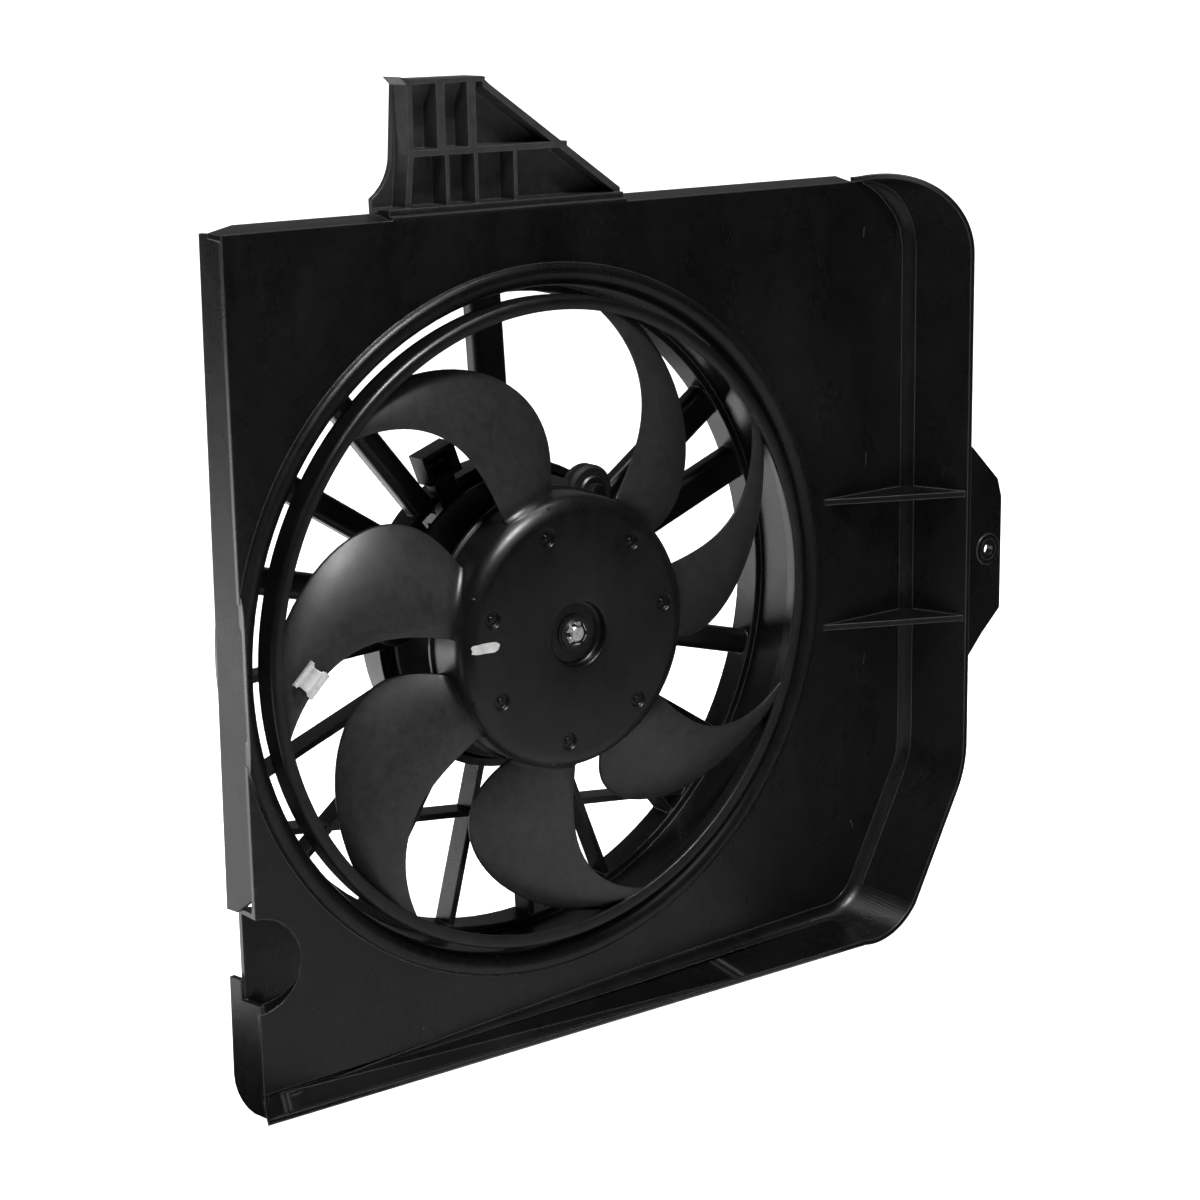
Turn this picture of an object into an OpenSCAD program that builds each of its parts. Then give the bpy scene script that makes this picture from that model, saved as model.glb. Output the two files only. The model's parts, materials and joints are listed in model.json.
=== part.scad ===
// Radiator cooling fan: moulded shroud, seven-blade banded fan and brushed motor.
// The origin is on the fan axis, in the plane of the skirt's front edge, which meets the radiator.
// +X is to the right and +Z up as seen from the radiator; +Y points back along the air flow.

/* [Shroud panel] */
// Left edge of the panel from the fan axis
panel_left = 169.5; // [168:0.5:185]
// Top edge of the panel above the fan axis
panel_top = 199.5; // [192:0.5:215]
// Right edge of the panel, where the skirt starts
panel_right = 236; // [225:0.5:250]
// Bottom edge of the panel below the fan axis, at the right
panel_bottom = 190; // [184:0.5:200]
// How much lower the bottom edge is at the left end
bottom_fall = 5; // [0:0.5:10]
// Thickness of the panel
panel_t = 2.8; // [2:0.1:4]
// Thickness of skirt, walls and barrel
wall_t = 2.6; // [2:0.1:3.2]
// Radius of the top right corner
corner_r = 38; // [25:1:50]
// Radius where the right side turns into the slanted lower side
slant_r = 40; // [25:1:60]
// Radius of the bottom right corner
foot_r = 26; // [16:1:34]
// Slant of the lower right side from the vertical
slant_angle = 28; // [20:1:35]
// Height below the axis at which the slant begins
slant_start = 100; // [85:1:110]

/* [Skirt and return walls] */
// Depth of the skirt from its front edge back to the panel
skirt_depth = 34; // [26:0.5:42]
// How far the skirt flares outward at the right
skirt_flare = 12.5; // [6:0.5:18]
// Outward flare at the bottom right corner
foot_flare = 5; // [3:0.5:9]
// Outward flare at the left end of the bottom
heel_flare = 12; // [6:0.5:16]
// Skirt depth at the left end of the bottom
heel_depth = 2.5; // [1:0.5:8]
// Depth of the return wall behind the top edge
return_top = 15; // [10:0.5:24]
// Depth of the left return wall at its foot
return_foot = 21; // [14:0.5:26]
// Outward lean of the return walls
return_lean = 11; // [4:1:14]
// Height of the two gusset ribs: upper
gusset_up = 36; // [28:1:44]
// Height of the two gusset ribs: lower
gusset_low = -31; // [-44:1:-24]
// Length of a gusset rib along the panel
gusset_len = 58; // [40:1:62]
// Thickness of a rib
rib_t = 3; // [2:0.1:4]

/* [Fan opening] */
// Radius of the opening behind its lip
throat_r = 163; // [161:0.1:163.5]
// Width of the rounded lip
lip_w = 8; // [6.5:0.1:8.4]
// Height of the lip above the panel
lip_h = 3; // [2:0.1:4]
// Length of the barrel behind the panel
barrel_len = 45; // [45:0.5:50]
// Distance from the panel to the step in the barrel
barrel_step = 31; // [28:0.5:31.5]
// How much the barrel narrows over its length, on the radius
barrel_draft = 1.5; // [1:0.1:2]
// Depth of the inward step
step_in = 4; // [3:0.1:4.4]

/* [Struts and motor ring] */
// Outer radius of the motor ring
ring_r = 77; // [76:0.5:77.5]
// Radial thickness of the motor ring
ring_t = 4; // [3:0.1:6]
// Length of the motor ring
ring_len = 16; // [12:0.5:20]
// Distance from the panel to the front of the motor ring
ring_back = 32; // [30:0.5:34]
// Width of a wide strut
strut_w = 18; // [14:0.5:20]
// Width of a narrow strut
strut_w2 = 13; // [10:0.5:14]
// Depth of a strut
strut_d = 12; // [10:0.5:12]
// Rounding of a strut's edges
strut_round = 4.4; // [2:0.1:4.8]
// Thickness of a thin stay
stay_t = 3.2; // [2.4:0.1:5]
// Angle between neighbouring strut places
strut_step = 18; // [17.5:0.1:18]
// Place of the first strut
strut_zero = 21; // [19:1:23]
// Height of the cross ledge below the axis
ledge_drop = 100; // [97:1:103]
// Depth of the cross ledge
ledge_d = 13; // [10:0.5:14]
// Slope of the cross ledge, down to the right
ledge_slope = 7; // [5:0.5:9]

/* [Top bracket and side tab] */
// Left edge of the bracket
bracket_left = 69; // [66:1:72]
// Width of the bracket's top
bracket_w = 42; // [38:1:46]
// Height of the bracket above the top edge
bracket_h = 61.5; // [56:0.5:66]
// Reach of the bracket's foot to the right of the axis
bracket_foot = 51; // [46:1:56]
// Depth of the bracket from front to back
bracket_d = 14; // [10:0.5:18]
// Height of the middle shelf above the top edge
shelf_h = 27; // [24:0.5:32]
// Thickness of the bracket's walls and shelf
bracket_t = 3; // [2:0.1:4]
// Width of the two thick upper ribs
bracket_rib = 4.6; // [3:0.1:5]
// Reach of the side tab from the fan axis
tab_reach = 295; // [288:1:304]
// Height of the tab's straight outer edge
tab_h = 62; // [50:1:70]
// Thickness of the side tab
tab_t = 4; // [3:0.1:6]
// Distance of the tab behind the skirt's front edge
tab_back = 20; // [16:0.5:22]
// Bore of the metal sleeve in the tab
tab_bore = 6.6; // [5.5:0.1:8.6]
// Distance of the bore from the tab's outer edge
tab_edge = 10; // [8.5:0.5:14]

/* [Fan] */
// Radius of the hub
hub_r = 66.5; // [64:0.5:68]
// Length of the hub's side wall
hub_len = 28; // [24:0.5:29]
// Wall thickness of the hub
hub_t = 2.5; // [1.8:0.1:3.2]
// Rounding of the hub's front edge
hub_round = 9; // [5:0.5:11]
// Radius of the centre recess
recess_r = 16; // [13:0.5:20]
// Depth of the centre recess
recess_d = 5; // [4:0.1:6]
// Gap between the opening and the band round the blade tips
band_gap = 4; // [3:0.1:5]
// Width of the band's front lip
band_lip = 6.5; // [4.5:0.1:9]
// Wall thickness of the band
band_t = 2.2; // [1.8:0.1:3]
// Length of the band
band_len = 12.8; // [12:0.1:15]
// Distance from the hub's face back to the band
band_back = 16; // [14:0.1:17]
// Thickness of a blade at its middle
blade_t = 3.0; // [2:0.1:3.6]
// Thickness of a blade at its edges
blade_edge = 1.3; // [1:0.1:1.8]
// Camber of a blade in its middle, towards the front
blade_camber = 4.5; // [2:0.1:7]
// Radius of the circle of small pockets in the hub's face
pocket_circle = 52; // [48:0.5:54]

/* [Motor] */
// Outer radius of the motor can
can_r = 54; // [52:0.5:56]
// Length of the motor can
can_len = 50; // [48:1:54]
// Wall thickness of the can
can_t = 2; // [1.5:0.1:2.5]
// Diameter of the shaft
shaft_d = 8; // [6:0.5:9]
// Running gap between the shaft and its bushes, on the radius
shaft_gap = 0.05; // [0.02:0.01:0.08]
// Radius of the circle of the three ears
ear_circle = 72; // [71:0.5:73]
// Radius of a rubber grommet
grommet_r = 13; // [11:0.5:14]
// Thickness of a rubber grommet
grommet_t = 9; // [7:0.5:10]
// Position of the first ear
ear_zero = 52; // [48:1:56]
// Air gap between armature and magnets
air_gap = 1; // [0.6:0.1:1.5]
// Direction in which the plug box stands off the ring
conn_angle = 110; // [108:1:111]
// Sideways offset of the plug box from the line through the axis
conn_side = 9.7; // [8:0.1:10]
// Gap between the plug box and the motor ring
conn_gap = 4; // [3:0.5:6]
// Width of the plug box
conn_w = 19; // [17:0.5:20]
// Height of the plug box
conn_h = 15; // [13:0.5:17]
// Depth of the plug box
conn_d = 11.5; // [11:0.5:12]
// Depth of the socket
socket_d = 9; // [7:0.5:9]
// Radius of the commutator
comm_r = 12; // [10.5:0.5:13]

/* [Hidden] */

$fn = 96;
eps = 0.01;
fit = 0.02;

// Stations along the axis, from the radiator backwards
panel_y = skirt_depth;
panel_back = panel_y + panel_t;
barrel_end = panel_y + barrel_len;
step_y = panel_y + barrel_step;
ring_y = panel_y + ring_back;
ring_end = ring_y + ring_len;
flange_t = 2.4;
flange_y = ring_y - (grommet_t + flange_t) / 2;
can_nose = 26;
can_y = flange_y - can_nose;
can_end = can_y + can_len;
hub_gap = 3;
hub_floor = 3.5;
boss_end = can_y - hub_gap;
boss_len = 15.6;
recess_y = boss_end - boss_len;
hub_y = recess_y - recess_d;
hub_rim = hub_y + hub_len;
band_y = hub_y + band_back;

// Radii of the lip's crest, of the barrel on both sides of its step, and of the band
lip_r = throat_r + lip_w;
step_r = throat_r - barrel_draft * barrel_step / barrel_len;
end_r = throat_r - barrel_draft - step_in;
end_edge = 1;
end_bevel = 5;
lip_trim = 0.2;
lip_tie = 34;
hole_r = lip_r + lip_h - 0.5;
band_r = throat_r - band_gap;
band_lip_r = band_r - band_lip;

// Hub centre and shaft
insert_r = 7;
centre_r = 12;
web_d = 9;
flange_over = 0.8;
nut_y = recess_y - flange_over;
shaft_front = nut_y - 3.2;
groove = 0.6;

// Bushes, their spring cups and the washers
bush_r = shaft_d / 2 + 4;
bush_len = 10;
bush_y = can_y + 1.6;
retainer_t = 0.8;
washer_t = 0.9;
washer_play = 0.6;
clip_y = bush_y + bush_len + retainer_t + washer_play + washer_t;
cap_t = 2.4;
cap_depth = 10;
cap_end = can_end + cap_depth;
rear_bush_y = cap_end - 1;
shaft_end = cap_end + bush_len - 1.5;

// Magnets, armature and commutator
magnet_t = 7;
magnet_len = 34;
magnet_y = can_y + 9;
core_r = can_r - can_t - magnet_t - air_gap;
core_y = can_y + 19;
core_len = 18;
slots = 12;
slot_r = 5.4;
slot_circle = core_r - 10;
turn_in = 15;
front_turn = 5;
rear_turn = 6;
comm_y = core_y + core_len + 0.3;
comm_end = cap_end - 4;

// Fasteners and grommets
bolt_circle = can_r - can_t - 4;
bolt_r = 2;
grommet_in = 7;
sleeve_r = 4.4;
boss_r = 8;
boss_up = 0.8;
screw_r = 2.5;

// Brush card and what it carries
dome_r = can_r - 12;
card_y = can_end - 5;
card_t = 1.6;
card_top = card_y + card_t + fit;
box_w = 8;
box_len = 16;
box_h = 9;
brush_w = 6;
choke_r = 3;

// Plug box with its neck through the ring, the leg behind the ring's wall and the duct to the end cap
conn_low = ring_r + conn_gap;
conn_front = ring_y - 2;
conn_end = conn_front + conn_d;
conn_wall = 2.4;
neck_w = 12;
neck_y = ring_y + boss_up + 0.6;
neck_end = conn_end - 0.4;
leg_at = can_r + 2;
leg_t = 6.4;
lead_t = 7;
lead_y = can_end + cap_t + 3 * fit;
conn_back = lead_y + lead_t;

// Strips from the blades in the plug box to the brush card
pin_w = 2.4;
pin_t = 0.8;
pin_pitch = 6.4;
pin_y = conn_front + 4.6;
pin_at = conn_low + (conn_h - pin_t) / 2;
neck_strip = neck_end - pin_t - 0.8;
leg_strip = leg_at + (leg_t - pin_t) / 2;
duct_strip = lead_y + (lead_t - pin_t) / 2;
card_strip = dome_r - 8;
strip_slot = pin_pitch + pin_w + 2;

// Blade places, unevenly spaced to spread the blade noise, and the edges' sweep and depth
blade_at = [103.6, 157, 202.5, 256.3, 306.5, 2.3, 45.4];
lead_sweep = [17.3, -11.2, 16.5, 14];
trail_sweep = [-11.7, -37.1, 88, -12.5];
lead_depth = [11.1, 3.7, 4.2];
trail_depth = [17.9, 42.5, -33.5];
blade_rows = 14;
blade_cols = 7;

function poly(c, s, i = 0) = i == len(c) ? 0 : c[i] * pow(s, i) + poly(c, s, i + 1);
function arc(cx, cy, r, a0, a1, n) =
  [for (i = [0:n]) [cx + r * cos(a0 + (a1 - a0) * i / n), cy + r * sin(a0 + (a1 - a0) * i / n)]];
function mix(a, b, t) = a + (b - a) * t;

// An outline in X and Z made into a plate from y0 to y1
module plate(y0, y1) {
  translate([0, y1, 0]) rotate([90, 0, 0]) linear_extrude(y1 - y0) children();
}

// A profile of radius and Y turned about the fan axis
module turned(points, n = 96) {
  rotate([-90, 0, 0]) rotate_extrude($fn = n) polygon(points);
}

module tube_y(r, y0, y1) {
  translate([0, y0, 0]) rotate([-90, 0, 0]) cylinder(r = r, h = y1 - y0);
}

module around(a) {
  rotate([0, -a, 0]) children();
}

// Crease between panel and skirt, from the top right corner round to the bottom left end
slant_cx = panel_right - slant_r;
foot_cz = foot_r - panel_bottom;
slant_run = (-slant_start - slant_r * sin(slant_angle) - foot_cz + foot_r * sin(slant_angle))
  / cos(slant_angle);
foot_cx = slant_cx + (slant_r - foot_r) * cos(slant_angle) - slant_run * sin(slant_angle);
corner_steps = 30;
slant_steps = 8;
foot_steps = 20;

// Each station of the skirt: x, z, outward direction, depth share and flare
function corner_stations() = [for (i = [0:corner_steps]) let (a = 90 - 90 * i / corner_steps)
  [panel_right - corner_r + corner_r * cos(a), panel_top - corner_r + corner_r * sin(a),
   a, skirt_depth * cos(a), skirt_flare * cos(a)]];
function slant_stations() = [for (i = [0:slant_steps]) let (a = -slant_angle * i / slant_steps)
  [slant_cx + slant_r * cos(a), -slant_start + slant_r * sin(a), a, skirt_depth, skirt_flare]];
function foot_stations() = [for (i = [0:foot_steps])
  let (a = mix(-slant_angle, -90, i / foot_steps))
  [foot_cx + foot_r * cos(a), foot_cz + foot_r * sin(a), a, skirt_depth,
   mix(skirt_flare, foot_flare, i / foot_steps)]];
heel_station = [-panel_left, -panel_bottom - bottom_fall, -90, heel_depth, heel_flare];
stations = concat(corner_stations(), slant_stations(), foot_stations(), [heel_station]);

// One four-cornered section of the skirt at a station
function skirt_section(s) = let (n = [cos(s[2]), sin(s[2])])
  [[s[0], panel_back, s[1]],
   [s[0] + s[4] * n[0], panel_y - s[3], s[1] + s[4] * n[1]],
   [s[0] + (s[4] + wall_t) * n[0], panel_y - s[3], s[1] + (s[4] + wall_t) * n[1]],
   [s[0] + wall_t * n[0], panel_back, s[1] + wall_t * n[1]]];

module skirt() {
  sections = [for (s = stations) skirt_section(s)];
  last = len(sections) - 1;
  sides = [for (i = [0:last - 1], k = [0:3]) let (a = 4 * i + k, b = 4 * i + (k + 1) % 4)
    each [[a, b, b + 4], [a, b + 4, a + 4]]];
  start = [[3, 2, 1], [3, 1, 0]];
  end = [for (f = start) [for (k = [2:-1:0]) 4 * last + f[k]]];
  polyhedron([for (s = sections, p = s) p], concat(start, sides, end));
}

module panel_outline() {
  // The edge lies inside the skirt's wall, nearer its inside where the skirt runs out
  edge = [for (s = stations) let (o = wall_t * mix(0.15, 0.5, s[3] / skirt_depth))
    [s[0] + o * cos(s[2]), s[1] + o * sin(s[2])]];
  polygon(concat([[-panel_left, panel_top]], edge));
}

// Scooped pocket at the left edge: place, radius and depth at the edge
scoop_z = -133;
scoop_r = 23;
scoop_d = 12.5;
scoop_lean = atan(scoop_d / scoop_r);

module scoop() {
  intersection() {
    plate(panel_y, panel_y + scoop_d + panel_t) translate([-panel_left, scoop_z]) circle(r = scoop_r + wall_t);
    translate([-panel_left, 0, scoop_z - scoop_r - wall_t])
      cube([scoop_r + wall_t, panel_y + scoop_d + panel_t, 2 * (scoop_r + wall_t)]);
    difference() {
      translate([scoop_r - panel_left, panel_y, scoop_z - 2 * scoop_r]) rotate([0, 0, -scoop_lean])
        translate([-2 * scoop_r, -scoop_d, 0]) cube([3 * scoop_r, scoop_d + panel_t, 4 * scoop_r]);
      intersection() {
        plate(panel_y - eps, panel_y + scoop_d + panel_t)
          translate([-panel_left, scoop_z]) circle(r = scoop_r);
        translate([scoop_r - panel_left, panel_y, scoop_z - 2 * scoop_r]) rotate([0, 0, -scoop_lean])
          translate([-2 * scoop_r, -scoop_d, 0]) cube([3 * scoop_r, scoop_d, 4 * scoop_r]);
      }
    }
  }
}

// Side view of the left return wall: depth behind the panel, and height
heel_z = -panel_bottom - bottom_fall - heel_flare;
wall_round = 16;
wall_in = 0.4;

module left_wall() {
  notch_top = scoop_z + scoop_r + 11;
  notch_low = scoop_z - scoop_r + 4;
  translate([wall_in - panel_left, panel_y + wall_in, 0]) rotate([0, 0, return_lean]) rotate([90, 0, 90])
    linear_extrude(wall_t) difference() {
      union() {
        polygon(concat([[0, panel_top], [return_top, panel_top], [return_foot, heel_z + wall_round]],
          arc(return_foot - wall_round, heel_z + wall_round, wall_round, 0, -80, 5), [[0, heel_z]]));
        // The lip reaches the panel's edge here, and the wall runs on into it
        translate([-lip_h / 2, -lip_tie]) square([lip_h, 2 * lip_tie]);
      }
      polygon([[-1, notch_top], [scoop_d, notch_top - 10], [scoop_d, notch_low], [-1, notch_low]]);
      translate([scoop_d - 1, scoop_z - 9]) square([return_foot, notch_top - scoop_z - 1]);
    }
}

module top_wall() {
  wall_right = panel_right - corner_r + corner_r * sin(20);
  translate([0, panel_y + wall_in, panel_top - wall_in]) rotate([return_lean, 0, 0]) translate([0, 0, -wall_t])
    linear_extrude(wall_t) polygon([[-panel_left, 0], [wall_right - 12, 0],
      [wall_right - 12, return_top], [-panel_left + 14, return_top], [-panel_left - 3, return_top - 9]]);
}

// Lip, barrel and the step in the barrel as one turned wall, trimmed at the panel's left edge
module barrel() {
  crest = panel_y - lip_h;
  intersection() {
    turned(concat(
      arc(lip_r, crest + lip_w, lip_w, 180, 270, 8),
      arc(lip_r + 0.2, panel_y, lip_h, -90, 0, 4),
      [[lip_r + lip_h + 0.8, panel_back], [lip_r + 0.9, panel_back]],
      arc(lip_r, crest + lip_w, lip_w - wall_t, 270, 180, 6),
      [[step_r + wall_t, step_y + wall_t], [end_r + wall_t + 1, step_y + wall_t],
       [end_r + wall_t, barrel_end - end_bevel], [end_r + end_edge, barrel_end], [end_r, barrel_end],
       [end_r + 0.6, step_y], [step_r, step_y]]), 144);
    translate([lip_trim - panel_left, crest - 1, -panel_top])
      cube([panel_left + panel_right, barrel_end - crest + 2, 2 * panel_top]);
  }
}

strut_y = ring_y + strut_d / 2 + 0.4;
strut_len = throat_r - ring_r + ring_t;
wide_struts = [0, 0.8, 4];
narrow_struts = [6, 7, 8, 18];
stays = [9, 10, 11, 12, 13, 14, 15, 16, 17];

// Rounded section of a strut, drawn across its length
module strut_section(w) {
  square([w - 2 * strut_round, strut_d], center = true);
  square([w, strut_d - 2 * strut_round], center = true);
  for (x = [-1, 1], y = [-1, 1])
    translate([x * (w / 2 - strut_round), y * (strut_d / 2 - strut_round)]) circle(r = strut_round, $fn = 40);
}

module strut(place, w) {
  around(strut_zero + strut_step * place)
    translate([ring_r - ring_t / 2, strut_y, 0]) rotate([90, 0, 90])
      linear_extrude(strut_len) rotate(90) strut_section(w);
}

module stay(place) {
  around(strut_zero + strut_step * place)
    translate([ring_r - ring_t / 2, strut_y - strut_d / 2, -stay_t / 2])
      cube([strut_len, strut_d, stay_t]);
}

// Everything inside the middle of the barrel's rear edge, where struts, stays and ledge end
module inside_barrel() {
  tube_y(end_r + end_edge / 2, panel_back, ring_end + 1);
}

module ledge() {
  rotate([0, ledge_slope, 0]) translate([-throat_r, strut_y - strut_d / 2 + 1, -ledge_drop - stay_t / 2])
    cube([2 * throat_r, ledge_d, stay_t]);
}

module motor_ring() {
  turned([[ring_r - ring_t, ring_y + boss_up], [ring_r, ring_y + boss_up], [ring_r, ring_end], [ring_r - 12, ring_end],
    [ring_r - 12, ring_end - 3], [ring_r - ring_t, ring_end - 3]]);
  for (k = [0:2]) around(ear_zero + 120 * k) translate([ear_circle, 0, 0])
    tube_y(boss_r, ring_y, ring_end + boss_up);
}

module screw_holes() {
  for (k = [0:2]) around(ear_zero + 120 * k)
    translate([ear_circle, 0, 0]) tube_y(screw_r + fit, ring_y - 1, ring_end + 1);
}

// Place of the plug box: +X off the ring, +Z along the box's width
module at_plug() {
  around(conn_angle) translate([0, 0, conn_side]) children();
}

// Notch in the ring's front edge that seats the plug box's neck
module neck_notch() {
  at_plug() translate([ring_r - ring_t - 6, ring_y - 1, -neck_w / 2 - fit])
    cube([ring_t + conn_gap + 6, neck_end + fit - ring_y + 1, neck_w + 2 * fit]);
}

module gusset(z) {
  translate([0, 0, z - rib_t / 2]) linear_extrude(rib_t) polygon([
    [panel_right - gusset_len, panel_y + 1], [panel_right - gusset_len, panel_y],
    [panel_right + skirt_flare, 1.2], [panel_right + skirt_flare + 1, 1.2],
    [panel_right + 1, panel_y + 1]]);
}

bracket_y = panel_y + 5.5;
bracket_back = bracket_y + bracket_d;
bracket_top = panel_top + bracket_h;
shelf_z = panel_top + shelf_h;
shelf_right = mix(bracket_w - bracket_left + 3, bracket_foot,
  (bracket_h - shelf_h) / (bracket_h - 4));
base_top = panel_top + 6.5;

module bracket() {
  top_right = bracket_w - bracket_left;
  // Back web, with its curved edge at the left foot
  plate(bracket_back - bracket_t, bracket_back) polygon(concat(
    [[-bracket_left, bracket_top - 2], [top_right, bracket_top - 2], [top_right + 3, bracket_top - 4],
     [bracket_foot, base_top - 3], [bracket_foot, panel_top], [-bracket_left - 13, panel_top]],
    arc(-bracket_left - 26, shelf_z + 2, 24, -58, 0, 6)));
  // Edge walls, shelf and upper ribs
  plate(bracket_y, bracket_back) {
    translate([-bracket_left, shelf_z]) square([bracket_t, bracket_h - shelf_h]);
    polygon([[-bracket_left - 3.5, bracket_top + 1], [-bracket_left, bracket_top - 2.4],
      [top_right, bracket_top - 2.4], [top_right + 1.6, bracket_top - 0.6], [top_right - 1, bracket_top],
      [-bracket_left + 2, bracket_top]]);
    polygon([[top_right - 1, bracket_top], [top_right + 3, bracket_top - 3.5], [bracket_foot, base_top],
      [bracket_foot, base_top - 4], [top_right, bracket_top - 5]]);
    translate([-bracket_left, shelf_z]) square([shelf_right + bracket_left - 1, bracket_t]);
    for (x = [-bracket_left + 16, -bracket_left + 33])
      translate([x, shelf_z]) square([bracket_rib, bracket_h - shelf_h - 1]);
    for (x = [-bracket_left + 20, -bracket_left + 36, -bracket_left + 58])
      translate([x, panel_top]) square([bracket_t - 1, shelf_h + 1]);
    polygon([[-bracket_left - 3, panel_top], [-bracket_left, panel_top], [-bracket_left + bracket_t, shelf_z + 1],
      [-bracket_left, shelf_z + 1]]);
  }
  // Sloped top of the pockets
  translate([-bracket_left, bracket_back - bracket_t - 6, bracket_top - 12]) rotate([90, 0, 90])
    linear_extrude(bracket_w) polygon([[6, 0], [8, 0], [8, 11], [0, 11], [0, 9]]);
  // Foot on the top wall
  translate([-bracket_left - 13, panel_y, panel_top - wall_t])
    cube([bracket_foot + bracket_left + 13, bracket_back - panel_y - bracket_t, wall_t + 1.5]);
  translate([-bracket_left - 13, bracket_y - 2.5, panel_top - 1])
    cube([bracket_foot + bracket_left + 13, bracket_d, base_top - panel_top - 1]);
}

tab_x = tab_reach - tab_edge;
tab_z = -2;
tab_root = panel_right + skirt_flare * (1 - tab_back / panel_back) + wall_t / 3;
tab_wall = 2.2;
tab_hole = tab_bore / 2 + tab_wall;
seat_w = 3;
seat_up = 0.6;

// Side tab with a raised seat round its metal sleeve
module tab() {
  difference() {
    union() {
      plate(tab_back, tab_back + tab_t)
        polygon([[tab_root, tab_z + tab_h + 18], [tab_reach - 22, tab_z + 57], [tab_reach - 3, tab_z + 38],
          [tab_reach, tab_z + 28], [tab_reach, tab_z + 28 - tab_h], [tab_reach - 13, tab_z - 46],
          [tab_reach - 23, tab_z - 57], [tab_root, tab_z - tab_h - 20]]);
      translate([tab_x, 0, tab_z]) tube_y(tab_hole + seat_w, tab_back - seat_up, tab_back + 1);
    }
    translate([tab_x, 0, tab_z]) tube_y(tab_hole, tab_back - 2, tab_back + tab_t + 1);
  }
  // Short ribs that stiffen the tab's root
  for (z = [-38, 34]) translate([tab_root, tab_back + tab_t - eps, tab_z + z])
    linear_extrude(rib_t) polygon([[0, 0], [22, 0], [0, 9]]);
}

module shroud() {
  color("#1b1c1e") difference() {
    union() {
      difference() {
        plate(panel_y, panel_back) panel_outline();
        tube_y(hole_r, panel_y - 1, panel_back + 1);
        translate([-panel_left - 1, panel_y - 1, 0])
          intersection() {
            plate(0, panel_t + 2) translate([1, scoop_z]) circle(r = scoop_r + eps);
          }
      }
      skirt();
      scoop();
      left_wall();
      top_wall();
      barrel();
      motor_ring();
      intersection() {
        union() {
          for (p = wide_struts) strut(p, strut_w);
          for (p = narrow_struts) strut(p, strut_w2);
          for (p = stays) stay(p);
          ledge();
        }
        inside_barrel();
      }
      for (z = [gusset_up, gusset_low]) gusset(z);
      bracket();
      tab();
    }
    screw_holes();
    neck_notch();
  }
}

module tab_sleeve() {
  color("#b9bcc0") translate([tab_x, tab_back, tab_z]) turned([[tab_bore / 2, -seat_up],
    [tab_hole - fit, -seat_up], [tab_hole - fit, tab_t], [tab_bore / 2, tab_t]], 48);
}

// Angle and depth of a point on a blade: s from root to tip, u from leading to trailing edge
function blade_point(s, u, side) = let (
    r = mix(hub_r - 1, band_r - 1.4, s),
    a0 = poly(lead_sweep, s), a1 = poly(trail_sweep, s),
    y0 = poly(lead_depth, s), y1 = poly(trail_depth, s),
    chord = (a0 - a1) * PI / 180 * r,
    lean = atan2(y1 - y0, chord),
    bow = 4 * u * (1 - u),
    half = side * mix(blade_edge, blade_t, pow(bow, 0.7)) / 2,
    out = -blade_camber * bow * (1 - 0.45 * s) + half,
    a = mix(a0, a1, u) - out * sin(lean) / r * 180 / PI,
    y = mix(y0, y1, u) + out * cos(lean))
  [r * cos(a), hub_y + y, r * sin(a)];

module blade() {
  nu = blade_cols + 1;
  ring = 2 * nu;
  grid = [for (i = [0:blade_rows]) each concat(
    [for (j = [0:blade_cols]) blade_point(i / blade_rows, j / blade_cols, -1)],
    [for (j = [blade_cols:-1:0]) blade_point(i / blade_rows, j / blade_cols, 1)])];
  // Each four-cornered patch is split along the same diagonal
  sides = [for (i = [0:blade_rows - 1], k = [0:ring - 1])
    let (a = i * ring + k, b = i * ring + (k + 1) % ring)
    each [[a, a + ring, b], [b, a + ring, b + ring]]];
  function cap(o) = [for (k = [0:blade_cols - 1])
    each [[o + k, o + k + 1, o + ring - 1 - k], [o + k + 1, o + ring - 2 - k, o + ring - 1 - k]]];
  root = cap(0);
  tip = [for (f = cap(blade_rows * ring)) [f[2], f[1], f[0]]];
  polyhedron(grid, concat(sides, root, tip));
}

module hub() {
  inner_r = hub_r - hub_t;
  difference() {
    turned(concat(
      [[insert_r, recess_y], [recess_r - 1, recess_y], [recess_r, recess_y - 1], [recess_r, hub_y + 0.6],
       [recess_r + 0.6, hub_y]],
      arc(hub_r - hub_round, hub_y + hub_round, hub_round, -90, 0, 8),
      [[hub_r, hub_rim - 3], [hub_r + 1.5, hub_rim - 2], [hub_r + 1.5, hub_rim], [inner_r, hub_rim]],
      arc(inner_r - hub_round + hub_t, hub_y + hub_round + 0.6, hub_round - hub_t, 0, -90, 6),
      [[recess_r + 5, hub_y + hub_floor], [recess_r + 4, recess_y + hub_floor], [centre_r, recess_y + hub_floor],
       [centre_r, boss_end], [insert_r, boss_end]]), 120);
    for (a = blade_at) around(a + 6) translate([pocket_circle, 0, 0]) tube_y(4, hub_y - 1, hub_y + 1.8);
  }
  for (a = blade_at) around(a + 6) translate([pocket_circle, 0, 0]) tube_y(1.4, hub_y + 0.7, hub_y + 2);
  // Webs inside the hub, one behind each blade
  for (a = blade_at) around(a)
    translate([centre_r - 1, hub_y + hub_floor - 1, -1]) cube([inner_r - centre_r + 1.5, web_d, 2]);
}

module band() {
  r_in = band_r - band_t;
  turned(concat([[band_lip_r, band_y + 1.2]], arc(band_r - 2.4, band_y + 2.4, 2.4, -90, 0, 5),
    [[band_r, band_y + band_len], [r_in, band_y + band_len], [r_in, band_y + band_t + 0.4],
     [band_lip_r + 0.4, band_y + band_t + 0.8]]), 144);
}

module fan() {
  color("#222326") {
    hub();
    band();
    for (a = blade_at) around(a) blade();
  }
}

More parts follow.
